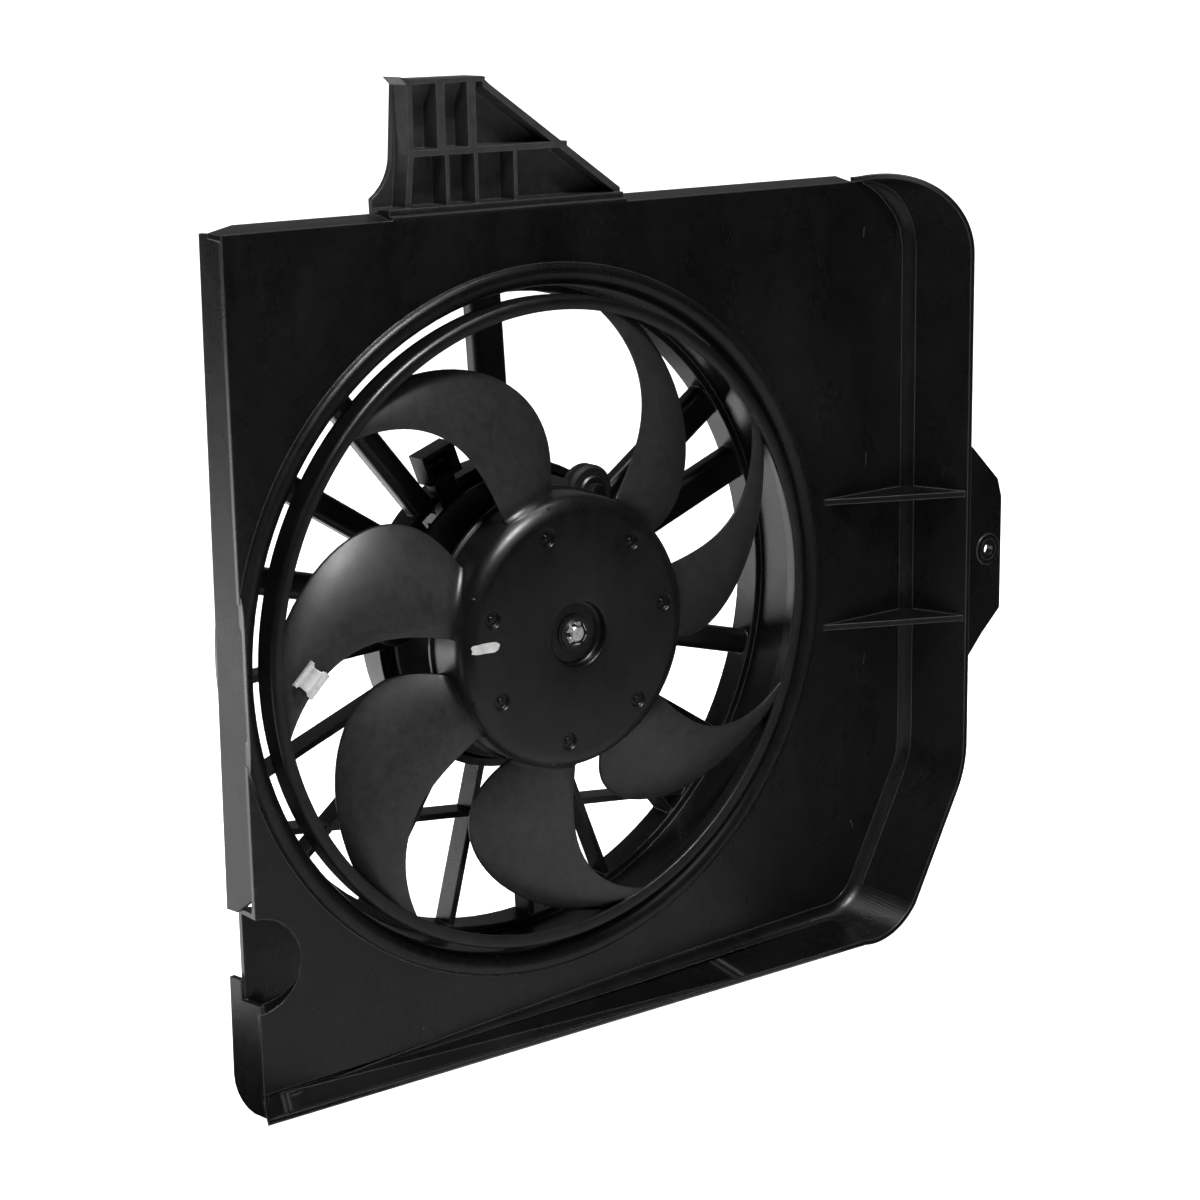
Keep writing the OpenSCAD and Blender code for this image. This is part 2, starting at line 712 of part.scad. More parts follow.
// Sprung steel clip on the leading edge of the second blade, near its tip
clip_s = 0.8;
clip_w = 13;
clip_d = 10;
clip_grip = 3.8;
clip_out = 1.3;
clip_t = 0.7;

function unit(v) = v / norm(v);

module balance_clip() {
  p = blade_point(clip_s, 0, 0);
  // Along the edge, into the blade, and square to both
  e = unit(blade_point(clip_s + 0.05, 0, 0) - blade_point(clip_s - 0.05, 0, 0));
  inward = blade_point(clip_s, 0.25, 0) - p;
  c = unit(inward - e * (inward * e));
  n = cross(e, c);
  color("#c9ccd0") around(blade_at[1])
    multmatrix([[c[0], n[0], e[0], p[0]], [c[1], n[1], e[1], p[1]], [c[2], n[2], e[2], p[2]], [0, 0, 0, 1]])
      translate([0, 0, -clip_w / 2]) linear_extrude(clip_w) difference() {
        translate([-clip_t - clip_out, -clip_grip / 2 - clip_t]) square([clip_d + clip_t, clip_grip + 2 * clip_t]);
        translate([-clip_out, -clip_grip / 2]) square([clip_d + 1, clip_grip]);
      }
}

module hub_insert() {
  color("#9a9ca0") turned([[shaft_d / 2 + fit, recess_y - 0.8], [insert_r + 2, recess_y - 0.8],
    [insert_r + 2, recess_y - fit], [insert_r - fit, recess_y - fit], [insert_r - fit, boss_end],
    [shaft_d / 2 + fit, boss_end]], 64);
}

// Star washer with six sprung teeth on the shaft's end
module push_nut() {
  color("#d7dadd") difference() {
    turned([[shaft_d / 2 + fit, nut_y - 2.2], [shaft_d / 2 + 1.2, nut_y - 2.4], [insert_r, nut_y - 0.9],
      [insert_r + 1, nut_y - 0.9], [insert_r + 1, nut_y - fit], [shaft_d / 2 + 1.4, nut_y - fit],
      [shaft_d / 2 + fit, nut_y - 1.2]], 48);
    for (k = [0:5]) around(60 * k)
      translate([shaft_d / 2 - 1, nut_y - 3, -0.4]) cube([2.2, 4, 0.8]);
  }
}

module motor_shaft() {
  r = shaft_d / 2;
  color("#c4c7ca") turned([[0, shaft_front], [r - 0.8, shaft_front], [r, shaft_front + 0.8], [r, clip_y],
    [r - groove, clip_y], [r - groove, clip_y + 1.2], [r, clip_y + 1.2], [r, shaft_end - 0.8],
    [r - 0.8, shaft_end], [0, shaft_end]], 64);
}

module shaft_clip() {
  color("#8d9094") difference() {
    tube_y(shaft_d / 2 + 1.8, clip_y + 0.1, clip_y + 1.1);
    tube_y(shaft_d / 2 - groove + fit, clip_y, clip_y + 1.2);
    translate([0, clip_y - 1, -1]) cube([shaft_d, 4, 2]);
  }
}

module washer(y0, y1) {
  difference() {
    tube_y(shaft_d / 2 + 3.4, y0, y1);
    tube_y(shaft_d / 2 + fit, y0 - 1, y1 + 1);
  }
}

module front_washer() {
  color("#d8c9a0") washer(clip_y - washer_t, clip_y - fit);
}

module rear_washer() {
  color("#d8c9a0") washer(rear_bush_y - retainer_t - washer_play - washer_t, rear_bush_y - retainer_t - washer_play);
}

module bush(y0) {
  difference() {
    tube_y(bush_r, y0, y0 + bush_len);
    tube_y(shaft_d / 2 + shaft_gap, y0 - 1, y0 + bush_len + 1);
  }
}

module front_bearing() {
  color("#a87d4b") bush(bush_y);
}

module rear_bearing() {
  color("#a87d4b") bush(rear_bush_y);
}

// Spring cup that keeps a bush in its seat, with four open windows
module retainer(y0, y1) {
  difference() {
    tube_y(bush_r + 1.6, y0, y1);
    tube_y(shaft_d / 2 + 1.6, y0 - 1, y1 + 1);
    for (k = [0:3]) around(45 + 90 * k) translate([bush_r - 1.2, y0 - 1, -1.5]) cube([2, y1 - y0 + 2, 3]);
  }
}

module front_retainer() {
  color("#a9acb0") retainer(bush_y + bush_len, bush_y + bush_len + retainer_t);
}

module rear_retainer() {
  color("#a9acb0") retainer(rear_bush_y - retainer_t, rear_bush_y);
}

module armature_core() {
  color("#7d8084") plate(core_y, core_y + core_len) difference() {
    circle(r = core_r);
    circle(r = shaft_d / 2 + fit);
    for (k = [0:slots - 1]) rotate(360 / slots * k) {
      translate([slot_circle, 0]) circle(r = slot_r, $fn = 32);
      translate([slot_circle, -1]) square([core_r, 2]);
    }
  }
}

// Slot fillings joined by an end turn ring at each end of the core
module armature_windings() {
  outer = slot_circle + slot_r - 1;
  color("#b5562c") {
    for (k = [0:slots - 1]) around(360 / slots * k) translate([slot_circle, 0, 0])
      tube_y(slot_r - 0.3, core_y - 1, core_y + core_len + 1);
    end_turn(core_y - front_turn, core_y - 0.3, outer);
    end_turn(core_y + core_len + 0.3, core_y + core_len + rear_turn, outer);
  }
}

module end_turn(y0, y1, outer) {
  c = min(2, (y1 - y0) / 3);
  turned([[turn_in, y0 + c], [turn_in + c, y0], [outer - c, y0], [outer, y0 + c], [outer, y1 - c],
    [outer - c, y1], [turn_in + c, y1], [turn_in, y1 - c]]);
}

module commutator() {
  color("#b87843") difference() {
    turned([[shaft_d / 2 + fit, comm_y], [comm_r + 2, comm_y], [comm_r + 2, comm_y + 3],
      [comm_r, comm_y + 3.6], [comm_r, comm_end], [shaft_d / 2 + fit, comm_end]]);
    for (k = [0:slots - 1]) around(360 / slots * (k + 0.5))
      translate([comm_r - 1, comm_y + 4, -0.3]) cube([3, comm_end - comm_y, 0.6]);
  }
}

module motor_can() {
  cup_r = bush_r + fit;
  cup_y = bush_y + bush_len - 1;
  color("#2c2e31") difference() {
    turned(concat([[bush_r - 1.4, can_y], [can_r - 5, can_y]], arc(can_r - 4, can_y + 4, 4, -90, 0, 5),
      [[can_r, can_end], [can_r - can_t, can_end]],
      arc(can_r - 4, can_y + 4, 4 - can_t, 0, -90, 4),
      [[bush_r + 6, can_y + can_t], [bush_r + 3.5, can_y + 4], [cup_r + 1.6, cup_y], [cup_r, cup_y],
       [cup_r, bush_y - fit], [bush_r - 1.4, bush_y - fit]]), 120);
    for (k = [0:1]) around(180 * k) translate([bolt_circle, 0, 0]) tube_y(bolt_r + 0.1, can_y - 1, can_y + 3);
    // Cooling windows in the nose
    for (k = [0:5]) around(30 + 60 * k) translate([30, 0, 0]) tube_y(5, can_y - 1, can_y + 3);
  }
}

// Steel plate round the can that closes the ring, with the three ears
module motor_flange() {
  ear_r = grommet_r - 2;
  color("#232427") plate(flange_y, flange_y + flange_t) difference() {
    union() {
      circle(r = ring_r - ring_t - 2);
      for (k = [0:2]) rotate(ear_zero + 120 * k) {
        translate([can_r - 2, -ear_r]) square([ear_circle - can_r + 2, 2 * ear_r]);
        translate([ear_circle, 0]) circle(r = ear_r);
      }
    }
    circle(r = can_r + fit);
    for (k = [0:2]) rotate(ear_zero + 120 * k) translate([ear_circle, 0]) circle(r = grommet_in);
  }
}

// Rubber bush in an ear: two collars with the steel plate between them
module ear_grommets() {
  half = (grommet_t - flange_t) / 2;
  color("#17181a") for (k = [0:2]) around(ear_zero + 120 * k) translate([ear_circle, flange_y - half, 0])
    turned([[sleeve_r + fit, 0], [grommet_r - 1.5, 0], [grommet_r, 1.5], [grommet_r, half - fit],
      [grommet_in - fit, half - fit], [grommet_in - fit, half + flange_t + fit],
      [grommet_r, half + flange_t + fit], [grommet_r, grommet_t - 1], [grommet_r - 1, grommet_t - fit],
      [sleeve_r + fit, grommet_t - fit]], 48);
}

module ear_sleeves() {
  half = (grommet_t - flange_t) / 2;
  color("#aeb1b5") for (k = [0:2]) around(ear_zero + 120 * k) translate([ear_circle, flange_y - half, 0])
    turned([[screw_r + 0.3, -0.3], [sleeve_r, -0.3], [sleeve_r, grommet_t - fit],
      [screw_r + 0.3, grommet_t - fit]], 40);
}

// Flanged hex screws through the ears into the ring's bosses
module motor_screws() {
  head_y = flange_y - (grommet_t - flange_t) / 2 - 0.3;
  color("#9c9fa3") for (k = [0:2]) around(ear_zero + 120 * k) translate([ear_circle, 0, 0]) {
    turned([[0, head_y - 1.5], [7, head_y - 1.5], [8, head_y - 0.6], [8, head_y - fit],
      [screw_r, head_y - fit], [screw_r, ring_end - 2], [screw_r - 0.8, ring_end - 1], [0, ring_end - 1]], 40);
    translate([0, head_y - 5.5, 0]) rotate([-90, 0, 0]) cylinder(r = 4.6, h = 4.2, $fn = 6);
  }
}

module magnets() {
  outer = can_r - can_t - fit;
  inner = outer - magnet_t + fit;
  color("#4a4c50") for (k = [0:3]) around(45 + 90 * k) plate(magnet_y, magnet_y + magnet_len)
    intersection() {
      difference() {
        circle(r = outer);
        circle(r = inner);
      }
      polygon([[0, 0], [2 * can_r * cos(34), 2 * can_r * sin(34)], [2 * can_r * cos(34), -2 * can_r * sin(34)]]);
    }
}

module end_cap() {
  color("#2a2b2e") difference() {
    turned([[bush_r + fit, cap_end], [dome_r - 4, cap_end - cap_t], [dome_r - cap_t, can_end + cap_t],
      [dome_r - cap_t, can_end + fit], [can_r - 0.2, can_end + fit], [can_r - 0.2, can_end + cap_t + fit],
      [dome_r, can_end + cap_t + fit], [dome_r - 2, cap_end - 1], [bush_r + 6, cap_end + 1],
      [bush_r + 2.4, cap_end + bush_len], [0, cap_end + bush_len], [0, cap_end + bush_len - 1],
      [bush_r + fit, cap_end + bush_len - 1]], 96);
    for (k = [0:1]) around(180 * k) translate([bolt_circle, 0, 0]) tube_y(bolt_r + 0.1, can_end - 1, can_end + 5);
    at_plug() translate([card_strip - 1, duct_strip - 1, -strip_slot / 2]) cube([16, pin_t + 2, strip_slot]);
  }
}

module through_bolts() {
  color("#a4a7ab") for (k = [0:1]) around(180 * k) translate([bolt_circle, 0, 0]) {
    tube_y(bolt_r, can_y - 2, can_end + cap_t + 1);
    translate([0, can_end + cap_t + 2 * fit, 0]) rotate([-90, 0, 0]) cylinder(r = 4, h = 3.4, $fn = 6);
  }
}

module brush_card() {
  color("#7a4a2a") difference() {
    plate(card_y, card_y + card_t) difference() {
      circle(r = can_r - can_t - 0.3);
      circle(r = comm_r + 2.6);
      for (k = [0:1]) rotate(180 * k) translate([bolt_circle, 0]) circle(r = bolt_r + 1.5);
    }
  }
}

module at_brushes() {
  for (a = [45, 225]) around(a) children();
}

// Brass guide folded round each brush, open at both ends
module brush_boxes() {
  color("#c8a24a") at_brushes() translate([comm_r + 1.5, card_top, -box_w / 2]) difference() {
    cube([box_len, box_h, box_w]);
    translate([-1, 0.7, 0.9]) cube([box_len + 0.3, box_h - 1.4, box_w - 1.8]);
    translate([5, 1, 1.6]) cube([box_len - 8, box_h, box_w - 3.2]);
  }
}

module brushes() {
  color("#3a3a3c") at_brushes() translate([comm_r + 0.4, card_top + 0.8, -brush_w / 2])
    cube([9, box_h - 1.6, brush_w]);
}

// Wire coil about +X from x0 to x1: a six-sided wire, twelve steps a turn
module coil(x0, x1, radius, wire, turns) {
  steps = 12 * turns;
  sides = 6;
  points = [for (i = [0:steps]) let (t = 30 * i, x = mix(x0, x1, i / steps))
    each [for (k = [0:sides - 1]) let (w = 60 * k, q = radius + wire * cos(w))
      [x + wire * sin(w), q * cos(t), q * sin(t)]]];
  skin = [for (i = [0:steps - 1], k = [0:sides - 1])
    let (a = i * sides + k, b = i * sides + (k + 1) % sides)
    each [[a, b, a + sides], [b, b + sides, a + sides]]];
  polyhedron(points, concat([[for (k = [sides - 1:-1:0]) k]], skin,
    [[for (k = [0:sides - 1]) steps * sides + k]]));
}

module brush_springs() {
  x0 = comm_r + 9.4;
  color("#c9ccd0") at_brushes() translate([0, card_top + box_h / 2, 0])
    coil(x0 + 0.6, x0 + 7.2, 2, 0.35, 5);
}

module choke_coils() {
  color("#c27a3e") for (a = [-45, 135]) around(a) translate([20, card_top + choke_r + 0.8, 0]) {
    rotate([0, 90, 0]) cylinder(r = choke_r - 1, h = 16);
    translate([2, 0, 0]) coil(0, 12, choke_r, 0.75, 6);
    for (x = [0, 14]) translate([x, -choke_r - 0.8, -1]) cube([2, choke_r, 2]);
  }
}

// Outline of a bent strip, grown by o, in the plane of the axis and the plug box's direction
function strip_outline(o) = let (x1 = pin_at, x2 = leg_strip, x3 = card_strip, y1 = neck_strip, y2 = duct_strip)
  [[x1 - o, pin_y - o], [x1 + pin_t + o, pin_y - o], [x1 + pin_t + o, y1 + pin_t + o],
   [x2 + pin_t + o, y1 + pin_t + o], [x2 + pin_t + o, y2 + pin_t + o], [x3 - o, y2 + pin_t + o],
   [x3 - o, card_top - o], [x3 + pin_t + o, card_top - o], [x3 + pin_t + o, y2 - o], [x2 - o, y2 - o],
   [x2 - o, y1 - o], [x1 - o, y1 - o]];

module strips(o) {
  for (s = [-1, 1]) translate([0, 0, (s * pin_pitch - pin_w) / 2 - o])
    linear_extrude(pin_w + 2 * o) polygon(strip_outline(o));
}

// Plug box beside the ring, its mouth to the front, with the duct that leads its strips to the end cap
module connector_housing() {
  color("#1a1b1d") at_plug() difference() {
    union() {
      translate([conn_low, conn_front, -conn_w / 2]) cube([conn_h, conn_d, conn_w]);
      translate([0, 0, -neck_w / 2]) linear_extrude(neck_w) polygon([
        [leg_at, neck_y], [conn_low + 1, neck_y], [conn_low + 1, neck_end], [leg_at + leg_t, neck_end],
        [leg_at + leg_t, conn_back], [dome_r - 6, conn_back], [dome_r - 6, lead_y], [leg_at, lead_y]]);
    }
    translate([conn_low + conn_wall, conn_front - 1, conn_wall - conn_w / 2])
      cube([conn_h - 2 * conn_wall, socket_d + 1, conn_w - 2 * conn_wall]);
    strips(fit);
    translate([0, 0, -conn_side]) tube_y(dome_r + 0.3, lead_y - 1, conn_back + 1);
  }
}

// Two strips from the brush card, along the duct, to the blades in the plug box
module terminals() {
  color("#cfae62") at_plug() strips(0);
}

shroud();
tab_sleeve();
fan();
balance_clip();
hub_insert();
push_nut();
motor_shaft();
shaft_clip();
front_washer();
rear_washer();
armature_core();
armature_windings();
commutator();
motor_can();
motor_flange();
ear_grommets();
ear_sleeves();
motor_screws();
front_bearing();
rear_bearing();
front_retainer();
rear_retainer();
magnets();
end_cap();
through_bolts();
brush_card();
brush_boxes();
brushes();
brush_springs();
choke_coils();
connector_housing();
terminals();
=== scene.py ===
"""Looks of the radiator cooling fan: moulded plastic, plated steel and the fan's smooth blades round the frame."""
import json
import math

import bmesh
import bpy
from mathutils import Matrix, Vector


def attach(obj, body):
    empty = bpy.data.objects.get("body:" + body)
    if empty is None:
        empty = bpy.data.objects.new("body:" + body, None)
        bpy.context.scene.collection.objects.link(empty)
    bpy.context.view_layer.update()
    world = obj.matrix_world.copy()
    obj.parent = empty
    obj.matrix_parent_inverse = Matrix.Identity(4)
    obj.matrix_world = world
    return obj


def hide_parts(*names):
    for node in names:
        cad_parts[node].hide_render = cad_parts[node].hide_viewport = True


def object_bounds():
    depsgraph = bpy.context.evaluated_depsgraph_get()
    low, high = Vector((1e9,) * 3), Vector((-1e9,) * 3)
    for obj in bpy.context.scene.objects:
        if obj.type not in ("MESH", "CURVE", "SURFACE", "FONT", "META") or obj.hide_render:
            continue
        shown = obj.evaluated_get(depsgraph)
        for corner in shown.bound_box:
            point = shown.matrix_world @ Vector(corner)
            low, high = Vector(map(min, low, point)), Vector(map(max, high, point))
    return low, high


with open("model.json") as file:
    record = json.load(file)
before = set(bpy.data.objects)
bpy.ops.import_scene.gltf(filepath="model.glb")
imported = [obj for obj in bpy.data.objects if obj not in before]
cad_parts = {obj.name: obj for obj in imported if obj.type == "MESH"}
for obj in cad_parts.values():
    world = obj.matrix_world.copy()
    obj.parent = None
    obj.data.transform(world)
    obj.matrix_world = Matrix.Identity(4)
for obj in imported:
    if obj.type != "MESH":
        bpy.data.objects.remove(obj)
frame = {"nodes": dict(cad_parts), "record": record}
cad_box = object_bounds()
MM = 0.001

# Camera of the photograph: place in millimetres, and angles in degrees
CAMERA_AT = (-728.8, -957.0, 307.0)
CAMERA_TURN = 37.46
CAMERA_DOWN = 13.48
CAMERA_ROLL = -0.99
CAMERA_LENS = 78.91
SENSOR = 36.0
CAMERA_REACH = 50
FLOOR_GAP = 0.0005
FLOOR = cad_box[0].z - FLOOR_GAP

# Zones of the materials in metres: the bracket's foot along Z, and the blades' root and tip as radii
BRACKET_FOOT = (0.199, 0.207)
BLADE_ROOT, BLADE_TIP = (0.066, 0.073), (0.149, 0.155)
# An edge gets a painted highlight, a lighter colour, where its rounded normal leaves the flat one: cosine at the
# start and at full highlight
HIGHLIGHT_START, HIGHLIGHT_FULL, HIGHLIGHT_SHARE = 0.995, 0.86, 0.8
# How far the roughness goes below and above its middle, and how much rougher the surface is where the paler tone
# lies
PLASTIC_SPREAD, METAL_SPREAD, ROUGHER_WHERE_PALE = (0.13, 0.18), (0.08, 0.1), 0.08
# Heights of the fine reliefs and radius of the metal's edges, in metres
GRAIN_DEPTH, RIPPLE_DEPTH, SCRATCH_DEPTH = 0.00012, 0.0006, 0.00005
RIPPLE_STRENGTH, METAL_EDGE = 0.12, 0.0003

# Light of the paper and of the world; the world's is dim, brighter behind the object, and white to the camera
PAPER_GLOW, WORLD_FRONT, WORLD_BACK, WORLD_SEEN = 1.1, 0.004, 0.12, 1.3
CARD_LIFT = 0.004


def set_camera():
    """The photograph's camera; gives back the direction it looks in."""
    turn, down, roll = (math.radians(v) for v in (CAMERA_TURN, CAMERA_DOWN, CAMERA_ROLL))
    forward = Vector((math.sin(turn) * math.cos(down), math.cos(turn) * math.cos(down), -math.sin(down)))
    level = Vector((math.cos(turn), -math.sin(turn), 0))
    above = level.cross(forward)
    right = level * math.cos(roll) + above * math.sin(roll)
    up = above * math.cos(roll) - level * math.sin(roll)
    data = bpy.data.cameras.new("photo_camera")
    data.lens = CAMERA_LENS
    data.sensor_width = SENSOR
    data.clip_end = CAMERA_REACH
    camera = bpy.data.objects.new("photo_camera", data)
    columns = Matrix((right, up, -forward)).transposed()
    camera.matrix_world = Matrix.Translation(Vector(CAMERA_AT) * MM) @ columns.to_4x4()
    bpy.context.scene.collection.objects.link(camera)
    bpy.context.scene.camera = camera
    return forward


def link(nodes, a, b):
    """Join the output a to the input b."""
    nodes.id_data.links.new(a, b)


def noise(nodes, coords, scale, detail=3.0, rough=0.5, stretch=None):
    """Noise over the object's own coordinates, in features per metre."""
    n = nodes.new("ShaderNodeTexNoise")
    n.inputs["Scale"].default_value = scale
    n.inputs["Detail"].default_value = detail
    n.inputs["Roughness"].default_value = rough
    source = coords.outputs["Object"]
    if stretch:
        m = nodes.new("ShaderNodeMapping")
        m.inputs["Scale"].default_value = stretch
        link(nodes, source, m.inputs["Vector"])
        source = m.outputs["Vector"]
    link(nodes, source, n.inputs["Vector"])
    return n.outputs["Fac"]


def ramp(nodes, value, stops):
    """Colours at their places along value, from the lowest to the highest."""
    r = nodes.new("ShaderNodeValToRGB")
    r.color_ramp.elements[0].position = stops[0][0]
    r.color_ramp.elements[1].position = stops[-1][0]
    for position, _ in stops[1:-1]:
        r.color_ramp.elements.new(position)
    for element, (_, colour) in zip(r.color_ramp.elements, stops):
        element.color = (*colour, 1)
    link(nodes, value, r.inputs["Fac"])
    return r.outputs["Color"]


def scaled(nodes, value, low, high):
    """The value of 0 to 1, moved to the range from low to high."""
    m = nodes.new("ShaderNodeMapRange")
    m.inputs["To Min"].default_value = low
    m.inputs["To Max"].default_value = high
    link(nodes, value, m.inputs["Value"])
    return m.outputs["Result"]


def bump(nodes, height, distance, strength, normal=None):
    """Normal of a relief of this height, distance in metres, laid over another normal."""
    b = nodes.new("ShaderNodeBump")
    b.inputs["Distance"].default_value = distance
    b.inputs["Strength"].default_value = strength
    link(nodes, height, b.inputs["Height"])
    if normal is not None:
        link(nodes, normal, b.inputs["Normal"])
    return b.outputs["Normal"]


def rounded(nodes, radius):
    """Normal of the surface with its edges rounded off, radius in metres."""
    b = nodes.new("ShaderNodeBevel")
    b.samples = 6
    b.inputs["Radius"].default_value = radius
    return b.outputs["Normal"]


def material(name):
    """A new material with its nodes, its shader and its texture coordinates."""
    m = bpy.data.materials.new(name)
    m.use_nodes = True
    nodes = m.node_tree.nodes
    return m, nodes, nodes["Principled BSDF"], nodes.new("ShaderNodeTexCoord")


def painted_edge_highlight(nodes, soft):
    """Mask of the painted edge highlight: how far the rounded normal leaves the flat one, 0 on a face, up to the
    highlight's share along an edge.
    """
    flat = nodes.new("ShaderNodeNewGeometry")
    turn = nodes.new("ShaderNodeVectorMath")
    turn.operation = "DOT_PRODUCT"
    link(nodes, soft, turn.inputs[0])
    link(nodes, flat.outputs["Normal"], turn.inputs[1])
    mask = nodes.new("ShaderNodeMapRange")
    for key, value in (("From Min", HIGHLIGHT_START), ("From Max", HIGHLIGHT_FULL), ("To Min", 0.0), ("To Max", HIGHLIGHT_SHARE)):
        mask.inputs[key].default_value = value
    link(nodes, turn.outputs["Value"], mask.inputs["Value"])
    return mask.outputs["Result"]


def blended(nodes, factor, a, b):
    """The tone a, turned into the plain colour b by factor."""
    m = nodes.new("ShaderNodeMix")
    m.data_type = "RGBA"
    link(nodes, factor, m.inputs["Factor"])
    link(nodes, a, m.inputs["A"])
    m.inputs["B"].default_value = (*b, 1)
    return m.outputs["Result"]


def on_bracket(nodes, coords):
    """Mask of the painted light on the bracket: 1 on the bracket, 0 on the panel below it."""
    axes = nodes.new("ShaderNodeSeparateXYZ")
    link(nodes, coords.outputs["Object"], axes.inputs["Vector"])
    rise = nodes.new("ShaderNodeMapRange")
    rise.inputs["From Min"].default_value, rise.inputs["From Max"].default_value = BRACKET_FOOT
    link(nodes, axes.outputs["Z"], rise.inputs["Value"])
    return rise.outputs["Result"]


def on_blades(nodes, coords):
    """Mask of the blades' paler tone, partly dust and partly painted light: 1 on the blades, 0 on the hub and the
    band, by the distance from the fan's axis.
    """
    flat = nodes.new("ShaderNodeVectorMath")
    flat.operation = "MULTIPLY"
    flat.inputs[1].default_value = (1.0, 0.0, 1.0)
    link(nodes, coords.outputs["Object"], flat.inputs[0])
    reach = nodes.new("ShaderNodeVectorMath")
    reach.operation = "LENGTH"
    link(nodes, flat.outputs["Vector"], reach.inputs[0])
    off, on = (0, 0, 0), (1, 1, 1)
    return ramp(nodes, reach.outputs["Value"], tuple(zip(BLADE_ROOT + BLADE_TIP, (off, on, on, off))))


def moulded(name, dark, light, rough, grain, edge, flow=14.0, specular=0.42, edge_highlight=None, dust_and_painted_light=None, where=None):
    """Moulded plastic: cloudy tone, fine grain and a sheen that varies along the flow of the melt.

    wear is the colour of the painted highlight along the edges, and dust the paler, duller tone that lies where the
    mask says: painted light on the bracket, and partly dust, partly painted light on the blades.
    """
    m, nodes, shader, coords = material(name)
    soft = rounded(nodes, edge)
    clouds = noise(nodes, coords, flow, 6.0, 0.68, (1.0, 1.0, 0.6))
    tone = ramp(nodes, clouds, ((0.3, dark), (0.72, light)))
    # Paler tone where the mask says: painted light on the bracket, partly dust and partly painted light on the
    # blades; then a fine speckle over all
    if dust_and_painted_light:
        tone = blended(nodes, where(nodes, coords), tone, dust_and_painted_light)
        speckle = ramp(nodes, noise(nodes, coords, 240.0, 4.0, 0.7),
                       ((0.35, (0.72, 0.72, 0.72)), (0.7, (1.3, 1.3, 1.3))))
        spots = nodes.new("ShaderNodeMix")
        spots.data_type, spots.blend_type = "RGBA", "MULTIPLY"
        spots.inputs["Factor"].default_value = 1.0
        link(nodes, tone, spots.inputs["A"])
        link(nodes, speckle, spots.inputs["B"])
        tone = spots.outputs["Result"]
    # Painted highlight: the edges turn to a lighter colour
    if edge_highlight:
        tone = blended(nodes, painted_edge_highlight(nodes, soft), tone, edge_highlight)
    link(nodes, tone, shader.inputs["Base Color"])
    sheen = noise(nodes, coords, flow * 2.3, 5.0, 0.7, (1.0, 1.0, 0.45))
    gloss = scaled(nodes, sheen, rough - PLASTIC_SPREAD[0], rough + PLASTIC_SPREAD[1])
    if dust_and_painted_light:
        duller = nodes.new("ShaderNodeMath")
        duller.operation = "MULTIPLY_ADD"
        duller.inputs[1].default_value = ROUGHER_WHERE_PALE
        link(nodes, where(nodes, coords), duller.inputs[0])
        link(nodes, gloss, duller.inputs[2])
        gloss = duller.outputs["Value"]
    link(nodes, gloss, shader.inputs["Roughness"])
    shader.inputs["Specular IOR Level"].default_value = specular
    fine = bump(nodes, noise(nodes, coords, 1300.0, 2.5, 0.6), GRAIN_DEPTH, grain, soft)
    ripple = noise(nodes, coords, 60.0, 3.0)
    link(nodes, bump(nodes, ripple, RIPPLE_DEPTH, RIPPLE_STRENGTH, fine), shader.inputs["Normal"])
    return m


def metal(name, dark, light, rough, grain=0.25, scale=180.0, stretch=None, metallic=1.0):
    """Plated, ground or painted metal: a base tone that clouds over, and a fine scratch grain."""
    m, nodes, shader, coords = material(name)
    clouds = noise(nodes, coords, scale, 4.0, 0.6)
    link(nodes, ramp(nodes, clouds, ((0.3, dark), (0.7, light))), shader.inputs["Base Color"])
    shader.inputs["Metallic"].default_value = metallic
    polish = noise(nodes, coords, scale * 3, 3.0, 0.6, stretch)
    gloss = scaled(nodes, polish, rough - METAL_SPREAD[0], rough + METAL_SPREAD[1])
    link(nodes, gloss, shader.inputs["Roughness"])
    height = noise(nodes, coords, 2400.0, 2.0, 0.5, stretch)
    link(nodes, bump(nodes, height, SCRATCH_DEPTH, grain, rounded(nodes, METAL_EDGE)), shader.inputs["Normal"])
    return m


def laminated(name):
    """Stamped sheets, 0.5 mm each, stacked along Y."""
    m, nodes, shader, coords = material(name)
    bands = nodes.new("ShaderNodeTexWave")
    bands.bands_direction = "Y"
    bands.inputs["Scale"].default_value = 314.0
    bands.inputs["Distortion"].default_value = 0.2
    link(nodes, coords.outputs["Object"], bands.inputs["Vector"])
    link(nodes, ramp(nodes, bands.outputs["Fac"], ((0.2, (0.11, 0.112, 0.118)), (0.8, (0.3, 0.305, 0.315)))),
         shader.inputs["Base Color"])
    shader.inputs["Metallic"].default_value = 0.9
    shader.inputs["Roughness"].default_value = 0.42
    link(nodes, bump(nodes, bands.outputs["Fac"], 0.0001, 0.5), shader.inputs["Normal"])
    return m


BLACK, COAL, SOOT = (0.0012, 0.0012, 0.0013), (0.0052, 0.0052, 0.0054), (0.0065, 0.0066, 0.0068)
# Colours of the painted edge highlight, of the painted light on the bracket, and of the blades' paler tone, partly
# dust and partly painted light
EDGE_HIGHLIGHT, BRACKET_PAINTED_LIGHT, BLADE_DUST_AND_PAINTED_LIGHT = (0.05, 0.05, 0.051), (0.021, 0.021, 0.0215), (0.013, 0.0131, 0.0134)

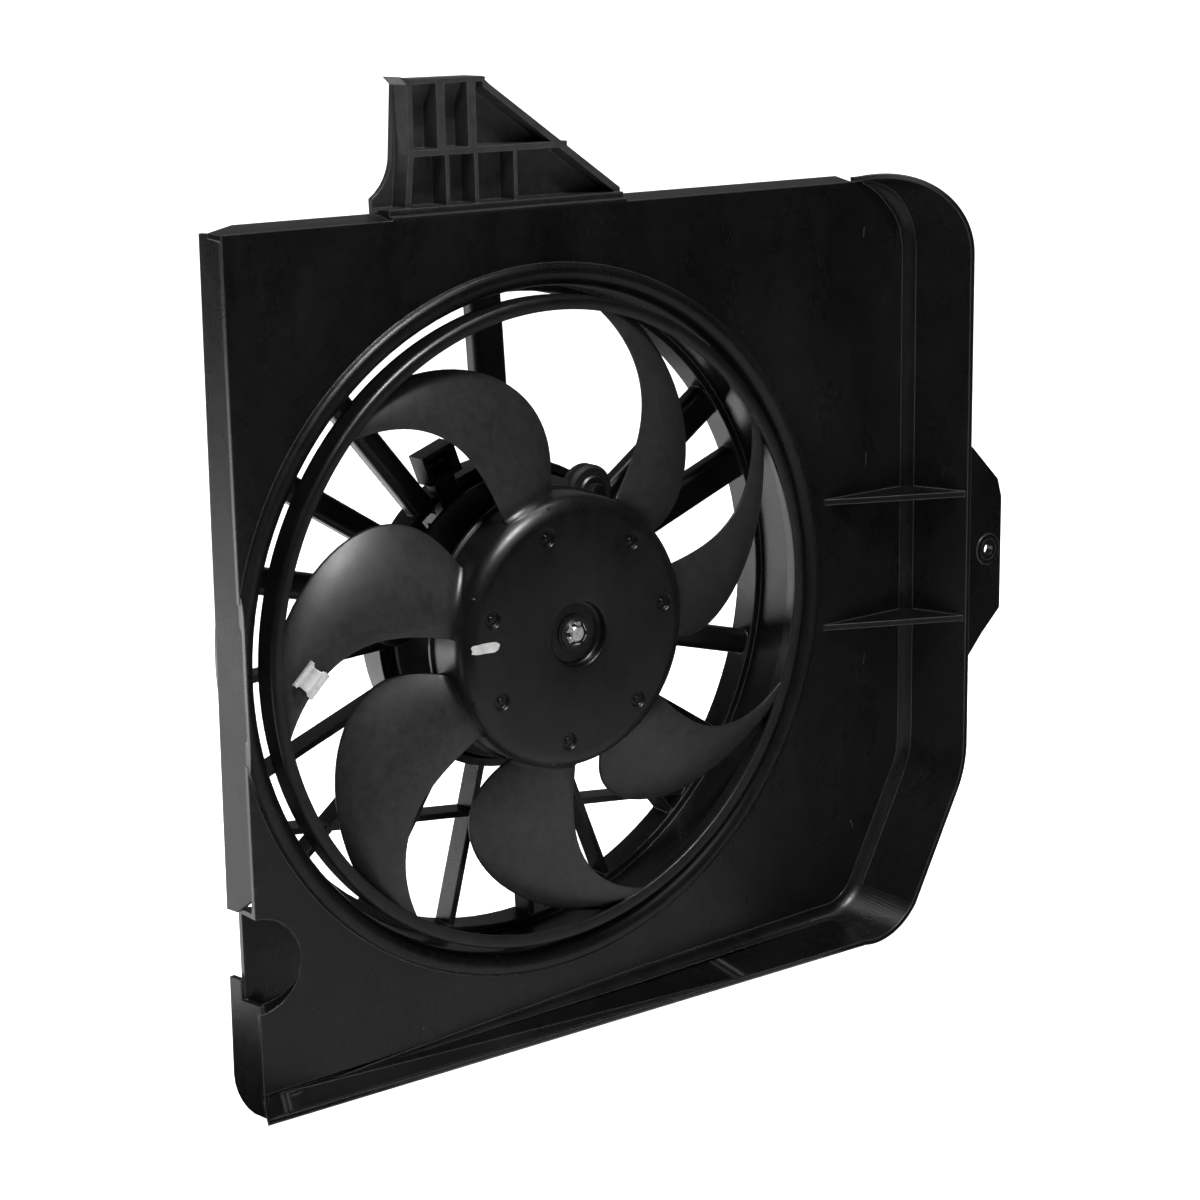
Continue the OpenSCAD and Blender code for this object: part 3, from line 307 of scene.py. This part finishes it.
# Finish of each material slot
SLOT_FINISHES = {
    # The shroud's edges get a painted highlight, and its bracket painted light
    "shroud_plastic": moulded("shroud_plastic", BLACK, COAL, rough=0.27, grain=0.6, edge=0.001,
                              edge_highlight=EDGE_HIGHLIGHT, dust_and_painted_light=BRACKET_PAINTED_LIGHT, where=on_bracket),
    # The blades are paler than the hub: partly dust, partly painted light
    "fan_plastic": moulded("fan_plastic", BLACK, COAL, rough=0.3, grain=0.4, edge=0.0008, flow=22.0, specular=0.5,
                           dust_and_painted_light=BLADE_DUST_AND_PAINTED_LIGHT, where=on_blades),
    "plug_plastic": moulded("plug_plastic", BLACK, COAL, rough=0.5, grain=0.4, edge=0.0004, flow=60.0),
    "can_paint": metal("can_paint", BLACK, SOOT, rough=0.33, grain=0.2, scale=40.0, metallic=0.0),
    "zinc_steel": metal("zinc_steel", (0.42, 0.42, 0.43), (0.6, 0.6, 0.6), rough=0.34, grain=0.3),
    "shaft_steel": metal("shaft_steel", (0.48, 0.48, 0.49), (0.62, 0.62, 0.63), rough=0.24, stretch=(1, 14, 1)),
    "spring_steel": metal("spring_steel", (0.62, 0.62, 0.62), (0.82, 0.82, 0.81), rough=0.27, grain=0.3, scale=90.0),
    "bronze": metal("bronze", (0.36, 0.22, 0.1), (0.5, 0.33, 0.17), rough=0.45, grain=0.6, scale=300.0),
    "brass": metal("brass", (0.56, 0.4, 0.15), (0.7, 0.53, 0.24), rough=0.3),
    "tin": metal("tin", (0.5, 0.5, 0.48), (0.66, 0.66, 0.63), rough=0.35),
    "copper": metal("copper", (0.42, 0.14, 0.05), (0.6, 0.24, 0.1), rough=0.3, grain=0.5, scale=220.0),
    "lamination": laminated("lamination"),
    "ferrite": metal("ferrite", (0.05, 0.051, 0.056), (0.085, 0.086, 0.09), rough=0.55, grain=0.6, scale=120.0,
                     metallic=0.2),
    "carbon": metal("carbon", (0.02, 0.02, 0.021), (0.045, 0.045, 0.047), rough=0.5, grain=0.7, scale=300.0,
                    metallic=0.1),
    "rubber": moulded("rubber", BLACK, COAL, rough=0.66, grain=0.8, edge=0.0006, flow=50.0),
    "card": moulded("card", (0.1, 0.045, 0.02), (0.16, 0.075, 0.035), rough=0.5, grain=0.7, edge=0.0002, flow=120.0),
    "washer_nylon": moulded("washer_nylon", (0.5, 0.44, 0.3), (0.6, 0.54, 0.4), rough=0.45, grain=0.2, edge=0.0002,
                            flow=80.0),
}

# Finishes of single pieces and nodes that look unlike the rest of their slot
dark_steel = metal("dark_steel", (0.05, 0.05, 0.052), (0.11, 0.11, 0.112), rough=0.42, grain=0.4)
black_steel = metal("black_steel", (0.008, 0.008, 0.0085), (0.02, 0.02, 0.021), rough=0.4, grain=0.4, metallic=0.5)
flange_steel = metal("flange_steel", (0.024, 0.024, 0.025), (0.042, 0.042, 0.043), rough=0.55, grain=0.5, scale=90.0,
                     metallic=0.4)
clip_steel = metal("clip_steel", (0.5, 0.5, 0.5), (0.75, 0.75, 0.74), rough=0.38, grain=0.4, scale=260.0,
                   metallic=0.6)
bright_zinc = metal("bright_zinc", (0.2, 0.2, 0.2), (0.5, 0.5, 0.49), rough=0.3, grain=0.9, scale=700.0,
                    metallic=0.6)
paint = moulded("white_paint", (0.24, 0.24, 0.235), (0.4, 0.4, 0.39), rough=0.5, grain=0.6, edge=0.0002, flow=160.0)
NODE_FINISHES = {
    "tab_sleeve": dark_steel, "motor_screws": dark_steel, "ear_sleeves": dark_steel,
    "push_nut": black_steel, "hub_insert": black_steel,
    "motor_flange": flange_steel, "motor_shaft": bright_zinc,
}

# Sizes of the fan and shroud in millimetres, as in the CAD model
HUB_Y, HUB_R, HUB_LEN, HUB_T, HUB_ROUND = 10.7, 66.5, 28.0, 2.5, 9.0
RECESS_Y, RECESS_R, BOSS_END, CENTRE_R, INSERT_R, HUB_FLOOR = 15.7, 16.0, 31.3, 12.0, 7.0, 3.5
BAND_R, BAND_LIP_R, BAND_T, BAND_LEN, BAND_Y = 159.0, 152.5, 2.2, 12.8, 26.7
POCKET_CIRCLE, POCKET_R, POCKET_DEPTH, POCKET_TURN = 52.0, 4.0, 1.8, 6.0
BLADE_AT = (103.6, 157.0, 202.5, 256.3, 306.5, 2.3, 45.4)
LEAD_SWEEP, TRAIL_SWEEP = (17.3, -11.2, 16.5, 14.0), (-11.7, -37.1, 88.0, -12.5)
LEAD_DEPTH, TRAIL_DEPTH = (11.1, 3.7, 4.2), (17.9, 42.5, -33.5)
BLADE_T, BLADE_EDGE, BLADE_CAMBER = 3.0, 1.3, 4.5
PANEL_Y, PANEL_BACK, PANEL_LEFT = 34.0, 36.8, 169.5

# Sizes of the scene's own pieces in millimetres and degrees
ROOT_SWELL, TIP_SWELL = 2.6, 1.6
CLIP_BLADE, CLIP_AT, CLIP_T, CLIP_WIDTH = 1, 0.765, 0.7, 13.6
PLATE_FROM, PLATE_TO, PLATE_STEPS = 130.0, 470.0, 120
FILLET_R, FILLET_SHARE = 6.5, 0.3
DAB_AT, DAB_HALF = (-54.3, 2.3), (7.6, 2.5)
TICK_HALF_WIDTH = 0.55


def arc(cx, cy, r, a0, a1, n):
    """n + 1 points of an arc, from angle a0 to a1 in degrees."""
    turns = (math.radians(a0 + (a1 - a0) * i / n) for i in range(n + 1))
    return [(cx + r * math.cos(a), cy + r * math.sin(a)) for a in turns]


def poly(c, s):
    """Value at s of the polynomial with the coefficients c."""
    return sum(k * s ** i for i, k in enumerate(c))


def mix(a, b, t):
    """From a at t = 0 to b at t = 1."""
    return a + (b - a) * t


def polar(r, a, y):
    """Point at radius r and angle a about the fan's axis, at depth y."""
    return (r * math.cos(math.radians(a)), y, r * math.sin(math.radians(a)))


def circle(middle, r, y, n):
    """n points of a circle in the plane of depth y."""
    return [(middle[0] + r * math.cos(t), y, middle[2] + r * math.sin(t))
            for t in (math.tau * k / n for k in range(n))]


class Shape:
    """Points in millimetres and faces, gathered into one mesh."""

    def __init__(self):
        self.points, self.faces = [], []

    def add(self, points, faces):
        o = len(self.points)
        self.points += [tuple(p) for p in points]
        self.faces += [tuple(o + i for i in f) for f in faces]

    def rings(self, rings, closed=False):
        """Rings of equally many points, each joined to the next."""
        n = len(rings[0])
        count = len(rings)
        faces = [(i * n + k, i * n + (k + 1) % n, (i + 1) % count * n + (k + 1) % n, (i + 1) % count * n + k)
                 for i in range(count if closed else count - 1) for k in range(n)]
        if not closed:
            faces += [tuple(reversed(range(n))), tuple((count - 1) * n + k for k in range(n))]
        self.add([p for ring in rings for p in ring], faces)

    def turned(self, profile, n):
        """A closed profile of radius and depth, turned about the fan axis."""
        self.rings([[polar(r, 360.0 * i / n, y) for r, y in profile] for i in range(n)], closed=True)

    def mesh(self, name):
        """The mesh in metres, with every face turned outwards."""
        mesh = bpy.data.meshes.new(name)
        mesh.from_pydata([[v * MM for v in p] for p in self.points], [], self.faces)
        work = bmesh.new()
        work.from_mesh(mesh)
        bmesh.ops.recalc_face_normals(work, faces=work.faces)
        work.to_mesh(mesh)
        work.free()
        return mesh


def place(name, mesh, slot, body, *replaced, crease=35.0, finish=None):
    """Put a piece into the scene with its slot's finish unless one is given, hung on its body, the nodes it replaces
    hidden, and the angle from which an edge stays sharp.
    """
    for face in mesh.polygons:
        face.use_smooth = True
    mesh.set_sharp_from_angle(angle=math.radians(crease))
    mesh.materials.clear()
    mesh.materials.append(finish or SLOT_FINISHES[slot])
    piece = bpy.data.objects.new(name, mesh)
    bpy.context.scene.collection.objects.link(piece)
    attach(piece, body)
    if replaced:
        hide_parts(*replaced)


def blade_point(at, s, u, side, swell=0.0):
    """Point of a blade: s from root to tip, u from leading to trailing edge, swell where it flares out."""
    r = mix(HUB_R - 1.0, BAND_R - 1.4, s)
    a0, a1 = poly(LEAD_SWEEP, s), poly(TRAIL_SWEEP, s)
    y0, y1 = poly(LEAD_DEPTH, s), poly(TRAIL_DEPTH, s)
    lean = math.atan2(y1 - y0, math.radians(a0 - a1) * r)
    bow = 4.0 * u * (1.0 - u)
    half = side * (mix(BLADE_EDGE, BLADE_T, bow ** 0.7) / 2.0 + swell)
    out = half - BLADE_CAMBER * bow * (1.0 - 0.45 * s)
    a = mix(a0, a1, u) - math.degrees(out * math.sin(lean) / r)
    return polar(r, at + a, HUB_Y + mix(y0, y1, u) + out * math.cos(lean))


def add_blade(shape, at, rows=44, columns=22):
    """One blade as rings round its section, from its seat in the hub to its seat in the band."""
    span = BAND_R - HUB_R - 0.4
    rings = []
    for i in range(rows + 1):
        # Rows close up towards both seats, where the blade flares
        s = 0.5 - 0.5 * math.cos(math.pi * i / rows)
        root, tip = s * span - 1.0, (1.0 - s) * span - 0.8
        swell = sum(w * (1.0 - math.sqrt(max(0.0, 1.0 - (1.0 - max(0.0, min(d / w, 1.0))) ** 2)))
                    for w, d in ((ROOT_SWELL, root), (TIP_SWELL, tip)))
        steps = [0.5 - 0.5 * math.cos(math.pi * j / columns) for j in range(columns + 1)]
        rings.append([blade_point(at, s, u, -1, swell) for u in steps]
                     + [blade_point(at, s, u, 1, swell) for u in reversed(steps)])
    shape.rings(rings)


def hub_mesh():
    """Hub cup with its seven pockets sunk by a boolean cut."""
    inner = HUB_R - HUB_T
    rim = HUB_Y + HUB_LEN
    cup = Shape()
    cup.turned([(INSERT_R, RECESS_Y), (RECESS_R - 2.2, RECESS_Y)]
               + arc(RECESS_R - 1.2, RECESS_Y - 1.2, 1.2, 90, 0, 4)
               + arc(RECESS_R + 0.9, HUB_Y + 0.9, 0.9, 180, 270, 5)
               + arc(HUB_R - HUB_ROUND, HUB_Y + HUB_ROUND, HUB_ROUND, -90, 0, 16)
               + [(HUB_R, rim - 3.0), (HUB_R + 1.2, rim - 2.4), (HUB_R + 1.5, rim - 2.0), (HUB_R + 1.5, rim - 0.3),
                  (HUB_R + 1.2, rim), (inner, rim)]
               + arc(HUB_R - HUB_ROUND, HUB_Y + HUB_ROUND + 0.6, HUB_ROUND - HUB_T, 0, -90, 8)
               + [(RECESS_R + 5.0, HUB_Y + HUB_FLOOR), (RECESS_R + 4.0, RECESS_Y + HUB_FLOOR),
                  (CENTRE_R, RECESS_Y + HUB_FLOOR), (CENTRE_R, BOSS_END), (INSERT_R, BOSS_END)], 192)
    cuts = Shape()
    for at in BLADE_AT:
        middle = polar(POCKET_CIRCLE, at + POCKET_TURN, 0.0)
        profile = [(POCKET_R + 0.5, HUB_Y - 1.0), (POCKET_R + 0.5, HUB_Y - 0.02), (POCKET_R, HUB_Y + 0.5),
                   (POCKET_R - 0.3, HUB_Y + POCKET_DEPTH)]
        cuts.rings([circle(middle, r, y, 32) for r, y in profile])
    parts = [bpy.data.objects.new(n, s.mesh(n)) for n, s in (("cup", cup), ("cuts", cuts))]
    for part in parts:
        bpy.context.scene.collection.objects.link(part)
    cutter = parts[0].modifiers.new("pockets", "BOOLEAN")
    cutter.operation, cutter.solver, cutter.object = "DIFFERENCE", "EXACT", parts[1]
    view = bpy.context.evaluated_depsgraph_get()
    result = bpy.data.meshes.new_from_object(parts[0].evaluated_get(view))
    for part in parts:
        bpy.data.objects.remove(part)
    return result


def add_hub_details(shape):
    """Pins in the pockets, and webs inside the cup behind the blades."""
    for at in BLADE_AT:
        middle = polar(POCKET_CIRCLE, at + POCKET_TURN, 0.0)
        profile = [(1.6, HUB_Y + POCKET_DEPTH + 0.3), (1.5, HUB_Y + 1.1), (1.2, HUB_Y + 0.8), (0.6, HUB_Y + 0.7)]
        shape.rings([circle(middle, r, y, 20) for r, y in profile])
        outer, inner = HUB_R - HUB_T + 0.4, CENTRE_R - 1.0
        web = [(inner, RECESS_Y + 3.0), (RECESS_R + 3.8, RECESS_Y + 3.0), (RECESS_R + 5.6, HUB_Y + 3.1),
               (outer, HUB_Y + 2.6), (outer, HUB_Y + 11.4), (inner, HUB_Y + 11.4)]
        c, s = math.cos(math.radians(at)), math.sin(math.radians(at))
        shape.rings([[(r * c - w * s, y, r * s + w * c) for r, y in web] for w in (-1.0, 1.0)])


def make_fan():
    """Hub, blades and the lipped band as one moulding."""
    fan = Shape()
    add_hub_details(fan)
    inner = BAND_R - BAND_T
    lip = BAND_Y + BAND_T
    fan.turned([(BAND_LIP_R + 0.3, BAND_Y + 2.9), (BAND_LIP_R, BAND_Y + 2.5), (BAND_LIP_R, BAND_Y + 1.6)]
               + arc(BAND_LIP_R + 0.6, BAND_Y + 1.5, 0.6, 190, 260, 3)
               + arc(BAND_R - 2.4, BAND_Y + 2.4, 2.4, -90, 0, 8)
               + [(BAND_R, BAND_Y + BAND_LEN - 0.3), (BAND_R - 0.3, BAND_Y + BAND_LEN),
                  (inner + 0.3, BAND_Y + BAND_LEN), (inner, BAND_Y + BAND_LEN - 0.3)]
               + arc(inner - 1.6, lip + 2.0, 1.6, 0, -90, 5), 240)
    for at in BLADE_AT:
        add_blade(fan, at)
    mesh = fan.mesh("fan_rest")
    whole = bmesh.new()
    whole.from_mesh(mesh)
    whole.from_mesh(hub_mesh())
    result = bpy.data.meshes.new("smooth_fan")
    whole.to_mesh(result)
    whole.free()
    place("smooth_fan", result, "fan_plastic", "rotor", "fan", crease=32.0)


def strip_rings(path, thickness, width, middle, along, into, square, waist):
    """A bent strip: path in the plane of into and square, its width laid along, narrower where waist says."""
    rings = []
    for i, p in enumerate(path):
        a, b = path[max(i - 1, 0)], path[min(i + 1, len(path) - 1)]
        t = Vector((b[0] - a[0], b[1] - a[1])).normalized()
        n = Vector((-t.y, t.x)) * thickness / 2.0
        ends = width / 2.0 + waist.get(i, 0.0)
        ring = []
        for side, end in ((1, -1), (1, 1), (-1, 1), (-1, -1)):
            q = Vector(p) + n * side
            ring.append(tuple(middle + into * q.x + square * q.y + along * end * ends))
        rings.append(ring)
    return rings


def make_clip():
    """Sprung steel clip folded over the second blade's leading edge, with a rolled lip on its front leg."""
    at, s0 = BLADE_AT[CLIP_BLADE], CLIP_AT
    middle = Vector(blade_point(at, s0, 0.0, 0))
    along = (Vector(blade_point(at, s0 + 0.05, 0.0, 0)) - Vector(blade_point(at, s0 - 0.05, 0.0, 0))).normalized()
    into = Vector(blade_point(at, s0, 0.25, 0)) - middle
    into = (into - along * into.dot(along)).normalized()
    square = along.cross(into)
    front = -1.0 if square.y > 0 else 1.0
    leg = [(9.9, 3.1), (10.2, 4.0), (9.7, 4.9), (8.8, 4.9), (8.3, 3.9), (7.7, 2.7),
           (6.7, 2.3), (2.7, 2.25), (2.1, 2.7), (1.4, 2.85), (0.8, 2.5), (0.2, 2.25)]
    waist = {5: -0.7, 6: -1.4, 7: -1.2, 8: -0.5}
    bend = [(-0.9 - 0.75 * math.cos(t), 2.25 * math.sin(t))
            for t in (math.radians(v) for v in (70, 45, 20, -20, -45, -70))]
    path = [(x, y * front) for x, y in leg + bend + [(0.2, -2.25), (5.0, -2.2), (8.6, -2.0)]]
    clip = Shape()
    clip.rings(strip_rings(path, CLIP_T, CLIP_WIDTH, middle, along, into, square, waist))
    place("folded_clip", clip.mesh("folded_clip"), "spring_steel", "rotor", "balance_clip", crease=50.0,
          finish=clip_steel)


def make_ring_floor():
    """Plate that closes the motor ring's back round the can, open where the connector's leg passes."""
    plate = Shape()
    profile = [(55.2, 80.0), (65.3, 80.0), (65.3, 82.3), (55.6, 82.3), (55.2, 81.9)]
    plate.rings([[polar(r, mix(PLATE_FROM, PLATE_TO, i / PLATE_STEPS), y) for r, y in profile]
                 for i in range(PLATE_STEPS + 1)])
    place("ring_floor", plate.mesh("ring_floor"), "shroud_plastic", "shroud_assembly", crease=40.0,
          finish=flange_steel)


def make_tongues():
    """Six sprung tongues of the push nut, bent up against the shaft's end."""
    # Radius, depth, half the width and thickness from the nut's ring to the tip
    stations = ((6.4, 14.3, 1.9, 0.3), (5.6, 13.5, 2.0, 0.35), (4.9, 12.3, 1.75, 0.35), (4.45, 11.5, 1.3, 0.3),
                (4.3, 11.1, 0.9, 0.15))
    tongues = Shape()
    for k in range(6):
        turn = math.radians(60.0 * k + 27.0)
        c, s = math.cos(turn), math.sin(turn)
        rings = []
        for r, y, half, thick in stations:
            section = ((-half, 0.0), (-half * 0.6, -thick * 0.4), (half * 0.6, -thick * 0.4), (half, 0.0),
                       (half, thick), (-half, thick))
            rings.append([(r * c - w * s + o * c, y, r * s + w * c + o * s) for w, o in section])
        tongues.rings(rings)
    place("nut_tongues", tongues.mesh("nut_tongues"), "zinc_steel", "rotor", crease=50.0, finish=bright_zinc)


def crease_stations():
    """Crease between panel and skirt as in the CAD model: place, outward turn, depth and flare at each station."""
    right, top, bottom, corner, slant, foot, lean, fall = 236.0, 199.5, 190.0, 38.0, 40.0, 26.0, 28.0, 5.0
    depth, flare, foot_flare, heel = 34.0, 12.5, 5.0, (2.5, 12.0)
    c, s = math.cos(math.radians(lean)), math.sin(math.radians(lean))
    slant_x, foot_z, start = right - slant, foot - bottom, 100.0
    run = (-start - slant * s - foot_z + foot * s) / c
    foot_x = slant_x + (slant - foot) * c - run * s
    rows = []
    # Top right corner, where the skirt rises from the panel; its first steps have no depth to fill
    for i in range(5, 49):
        a = math.radians(90.0 - 90.0 * i / 48)
        rows.append((right - corner + corner * math.cos(a), top - corner + corner * math.sin(a), math.degrees(a),
                     depth * math.cos(a), flare * math.cos(a)))
    # Bend into the slant, and then the foot's bend into the bottom run
    for i in range(17):
        a = -lean * i / 16
        rows.append((slant_x + slant * math.cos(math.radians(a)), slant * math.sin(math.radians(a)) - start, a,
                     depth, flare))
    for i in range(33):
        a = mix(-lean, -90.0, i / 32)
        rows.append((foot_x + foot * math.cos(math.radians(a)), foot_z + foot * math.sin(math.radians(a)), a,
                     depth, mix(flare, foot_flare, i / 32)))
    last, end = rows[-1], (-PANEL_LEFT, -bottom - fall, -90.0, *heel)
    rows += [tuple(mix(p, q, i / 24) for p, q in zip(last, end)) for i in range(1, 24)]
    return rows


def make_crease():
    """Moulded fillet between the panel and the skirt's inner wall."""
    rings = []
    for x, z, turn, depth, flare in crease_stations():
        out = Vector((math.cos(math.radians(turn)), math.sin(math.radians(turn))))
        wall = Vector((flare, -(depth + PANEL_BACK - PANEL_Y))).normalized()
        corner = Vector((flare * (PANEL_BACK - PANEL_Y) / (depth + PANEL_BACK - PANEL_Y), PANEL_Y))
        half = math.acos(-wall.x) / 2.0
        radius = min(FILLET_R, FILLET_SHARE * depth)
        reach = radius / math.tan(half)
        middle = corner + (Vector((-1.0, 0.0)) + wall).normalized() * (radius / math.sin(half))
        a0 = math.atan2(PANEL_Y - middle.y, -reach + corner.x - middle.x)
        touch = corner + wall * reach
        a1 = math.atan2(touch.y - middle.y, touch.x - middle.x)
        sweep = [(middle.x + radius * math.cos(a), middle.y + radius * math.sin(a))
                 for a in (mix(a0, a1, k / 10) for k in range(11))]
        back = [(corner.x + wall.x * reach + 0.4, touch.y + 0.1), (corner.x + 0.4, PANEL_Y + 0.4),
                (corner.x - reach, PANEL_Y + 0.4)]
        rings.append([(x + d * out.x, y, z + d * out.y) for d, y in sweep + back])
    crease = Shape()
    crease.rings(rings)
    place("skirt_fillet", crease.mesh("skirt_fillet"), "shroud_plastic", "shroud_assembly", crease=40.0)


def make_dab():
    """White paint mark across the hub's left edge, thin at its rim."""
    # Share of the full outline, and height over the hub's face
    layers = ((0.96, -0.25), (1.0, -0.04), (0.97, 0.05), (0.9, 0.11), (0.7, 0.15), (0.35, 0.16), (0.05, 0.16))
    dab = Shape()
    rings = []
    for size, lift in layers:
        ring = []
        for k in range(48):
            t = math.tau * k / 48
            wave = 1.0 + 0.035 * math.sin(5 * t + 1.0) + 0.03 * math.sin(9 * t)
            px = DAB_HALF[0] * size * wave * math.copysign(abs(math.cos(t)) ** 0.45, math.cos(t))
            pz = DAB_HALF[1] * size * wave * math.copysign(abs(math.sin(t)) ** 0.55, math.sin(t))
            x, z = DAB_AT[0] + px + 0.05 * pz, DAB_AT[1] + pz - 0.02 * px
            r = math.hypot(x, z)
            over = min(max(0.0, r - (HUB_R - HUB_ROUND)), HUB_ROUND - 0.1)
            y = HUB_Y + HUB_ROUND - math.sqrt(HUB_ROUND ** 2 - over ** 2)
            lean = math.asin(over / HUB_ROUND)
            spread = 1 + lift * math.sin(lean) / r
            ring.append((x * spread, y - lift * math.cos(lean), z * spread))
        rings.append(ring)
    dab.rings(rings)
    place("paint_mark", dab.mesh("paint_mark"), "washer_nylon", "rotor", finish=paint)


def make_ticks():
    """Small raised moulding marks on the panel."""
    # Place, turn and length of each; then the share of its outline at each height over the panel
    marks = ((205.0, 173.7, 8, 5.0), (207.5, 55.5, 6, 6.5), (207.0, -52.5, 6, 6.5), (199.0, -143.5, -20, 5.0),
             (-80.0, -186.0, 80, 4.0))
    profile = ((1.0, 0.2), (1.0, -0.05), (0.82, -0.25), (0.5, -0.34), (0.1, -0.36))
    ticks = Shape()
    for x, z, turn, length in marks:
        c, s = math.cos(math.radians(turn)), math.sin(math.radians(turn))
        rings = []
        for share, y in profile:
            outline = ((length / 2 * share * math.cos(t), TICK_HALF_WIDTH * share * math.sin(t))
                       for t in (math.tau * i / 24 for i in range(24)))
            rings.append([(x + u * s + w * c, PANEL_Y + y, z + u * c - w * s) for u, w in outline])
        ticks.rings(rings)
    place("moulding_marks", ticks.mesh("moulding_marks"), "shroud_plastic", "shroud_assembly")


def dress_nodes():
    """A finish for every CAD node: its own, or else its slot's."""
    for part in frame["record"]["subparts"]:
        node = frame["nodes"][part["node"]]
        finish = NODE_FINISHES.get(part["node"], SLOT_FINISHES[part["material_slot"]])
        if not node.material_slots:
            node.data.materials.append(finish)
        for slot in node.material_slots:
            slot.material = finish


def set_stage(low):
    """A pale floor that runs up into a pale wall, in metres. Nothing mirrors it, and it throws no shadow."""
    grid = bmesh.new()
    reach, bend, top, steps = 9.0, 3.0, 8.0, 16
    profile = [(-reach, 0.0)] + [(reach - bend + bend * math.sin(a), bend - bend * math.cos(a))
                                 for a in (math.pi / 2 * k / steps for k in range(steps + 1))]
    profile.append((reach, top))
    rows = [[grid.verts.new((side * reach, y, z)) for side in (-1, 1)] for y, z in profile]
    for a, b in zip(rows, rows[1:]):
        grid.faces.new((a[0], a[1], b[1], b[0])).smooth = True
    mesh = bpy.data.meshes.new("sweep")
    grid.to_mesh(mesh)
    floor = bpy.data.objects.new("sweep", mesh)
    floor.matrix_world = Matrix.Translation((0, 0, low)) @ Matrix.Rotation(-math.radians(CAMERA_TURN), 4, "Z")
    floor.visible_glossy = False
    floor.visible_shadow = False
    m, nodes, shader, coords = material("pale_paper")
    shader.inputs["Roughness"].default_value = 0.9
    shader.inputs["Emission Color"].default_value = (1, 1, 1, 1)
    shader.inputs["Emission Strength"].default_value = PAPER_GLOW
    tone = noise(nodes, coords, 3.0, 2.0)
    paper = ramp(nodes, tone, ((0.2, (0.84, 0.84, 0.84)), (0.8, (0.88, 0.88, 0.88))))
    link(nodes, paper, shader.inputs["Base Color"])
    mesh.materials.append(m)
    bpy.context.scene.collection.objects.link(floor)


def set_studio(forward):
    """World light that rises from the camera's side to the far side of the object."""
    world = bpy.data.worlds.new("studio")
    world.use_nodes = True
    nodes = world.node_tree.nodes
    coords = nodes.new("ShaderNodeTexCoord")
    facing = nodes.new("ShaderNodeVectorMath")
    facing.operation = "DOT_PRODUCT"
    facing.inputs[1].default_value = Vector((forward.x, forward.y, 0.25)).normalized()
    link(nodes, coords.outputs["Generated"], facing.inputs[0])
    glow = nodes.new("ShaderNodeMapRange")
    glow.interpolation_type = "SMOOTHSTEP"
    for key, value in (("From Min", 0.1), ("From Max", 0.98), ("To Min", WORLD_FRONT), ("To Max", WORLD_BACK)):
        glow.inputs[key].default_value = value
    link(nodes, facing.outputs["Value"], glow.inputs["Value"])
    path = nodes.new("ShaderNodeLightPath")
    seen = nodes.new("ShaderNodeMix")
    seen.inputs["B"].default_value = WORLD_SEEN
    link(nodes, path.outputs["Is Camera Ray"], seen.inputs["Factor"])
    link(nodes, glow.outputs["Result"], seen.inputs["A"])
    background = nodes["Background"]
    background.inputs["Color"].default_value = (1.0, 1.0, 1.0, 1)
    link(nodes, seen.outputs["Result"], background.inputs["Strength"])
    bpy.context.scene.world = world


def lamp(name, at, aim, size, power):
    """A soft box at a place in metres, turned to its aim, with its power in watts."""
    data = bpy.data.lights.new(name, "AREA")
    data.shape = "RECTANGLE"
    data.size, data.size_y = size
    data.energy = power
    lamp_object = bpy.data.objects.new(name, data)
    lamp_object.location = at
    lamp_object.rotation_euler = (Vector(aim) - Vector(at)).to_track_quat("-Z", "Y").to_euler()
    bpy.context.scene.collection.objects.link(lamp_object)
    return lamp_object


def card(name, at, size, turn, power):
    """A bright card that lies on the floor and faces up, turned about the vertical."""
    flat = lamp(name, (*at, FLOOR + CARD_LIFT), (*at, 1.0), size, power)
    flat.rotation_euler = (math.pi, 0.0, math.radians(turn))


def set_lights():
    """Cards behind the left wall, which mirrors them, a faint one in front, and soft boxes above."""
    card("back_card", (-0.68, 0.97), size=(0.9, 1.87), turn=27.7, power=12.0)
    card("far_card", (-0.83, 1.25), size=(0.9, 1.2), turn=27.7, power=11.5)
    card("front_card", (0.12, -0.36), size=(0.9, 0.5), turn=-52.0, power=0.6)
    lamp("upper_front", (-0.3, -0.78, 1.68), aim=(0, 0, 0), size=(0.45, 0.4), power=42)
    lamp("front_soft", (0.05, -1.5, 1.45), aim=(0, 0, 0), size=(0.8, 1.2), power=5)
    lamp("top_soft", (0.1, 0.35, 2.0), aim=(0, 0.05, 0), size=(1.2, 0.7), power=22)


bpy.context.scene.view_settings.view_transform = "Standard"
forward = set_camera()
dress_nodes()
make_fan()
make_clip()
make_tongues()
make_ring_floor()
make_dab()
make_crease()
make_ticks()
set_stage(FLOOR)
set_studio(forward)
set_lights()
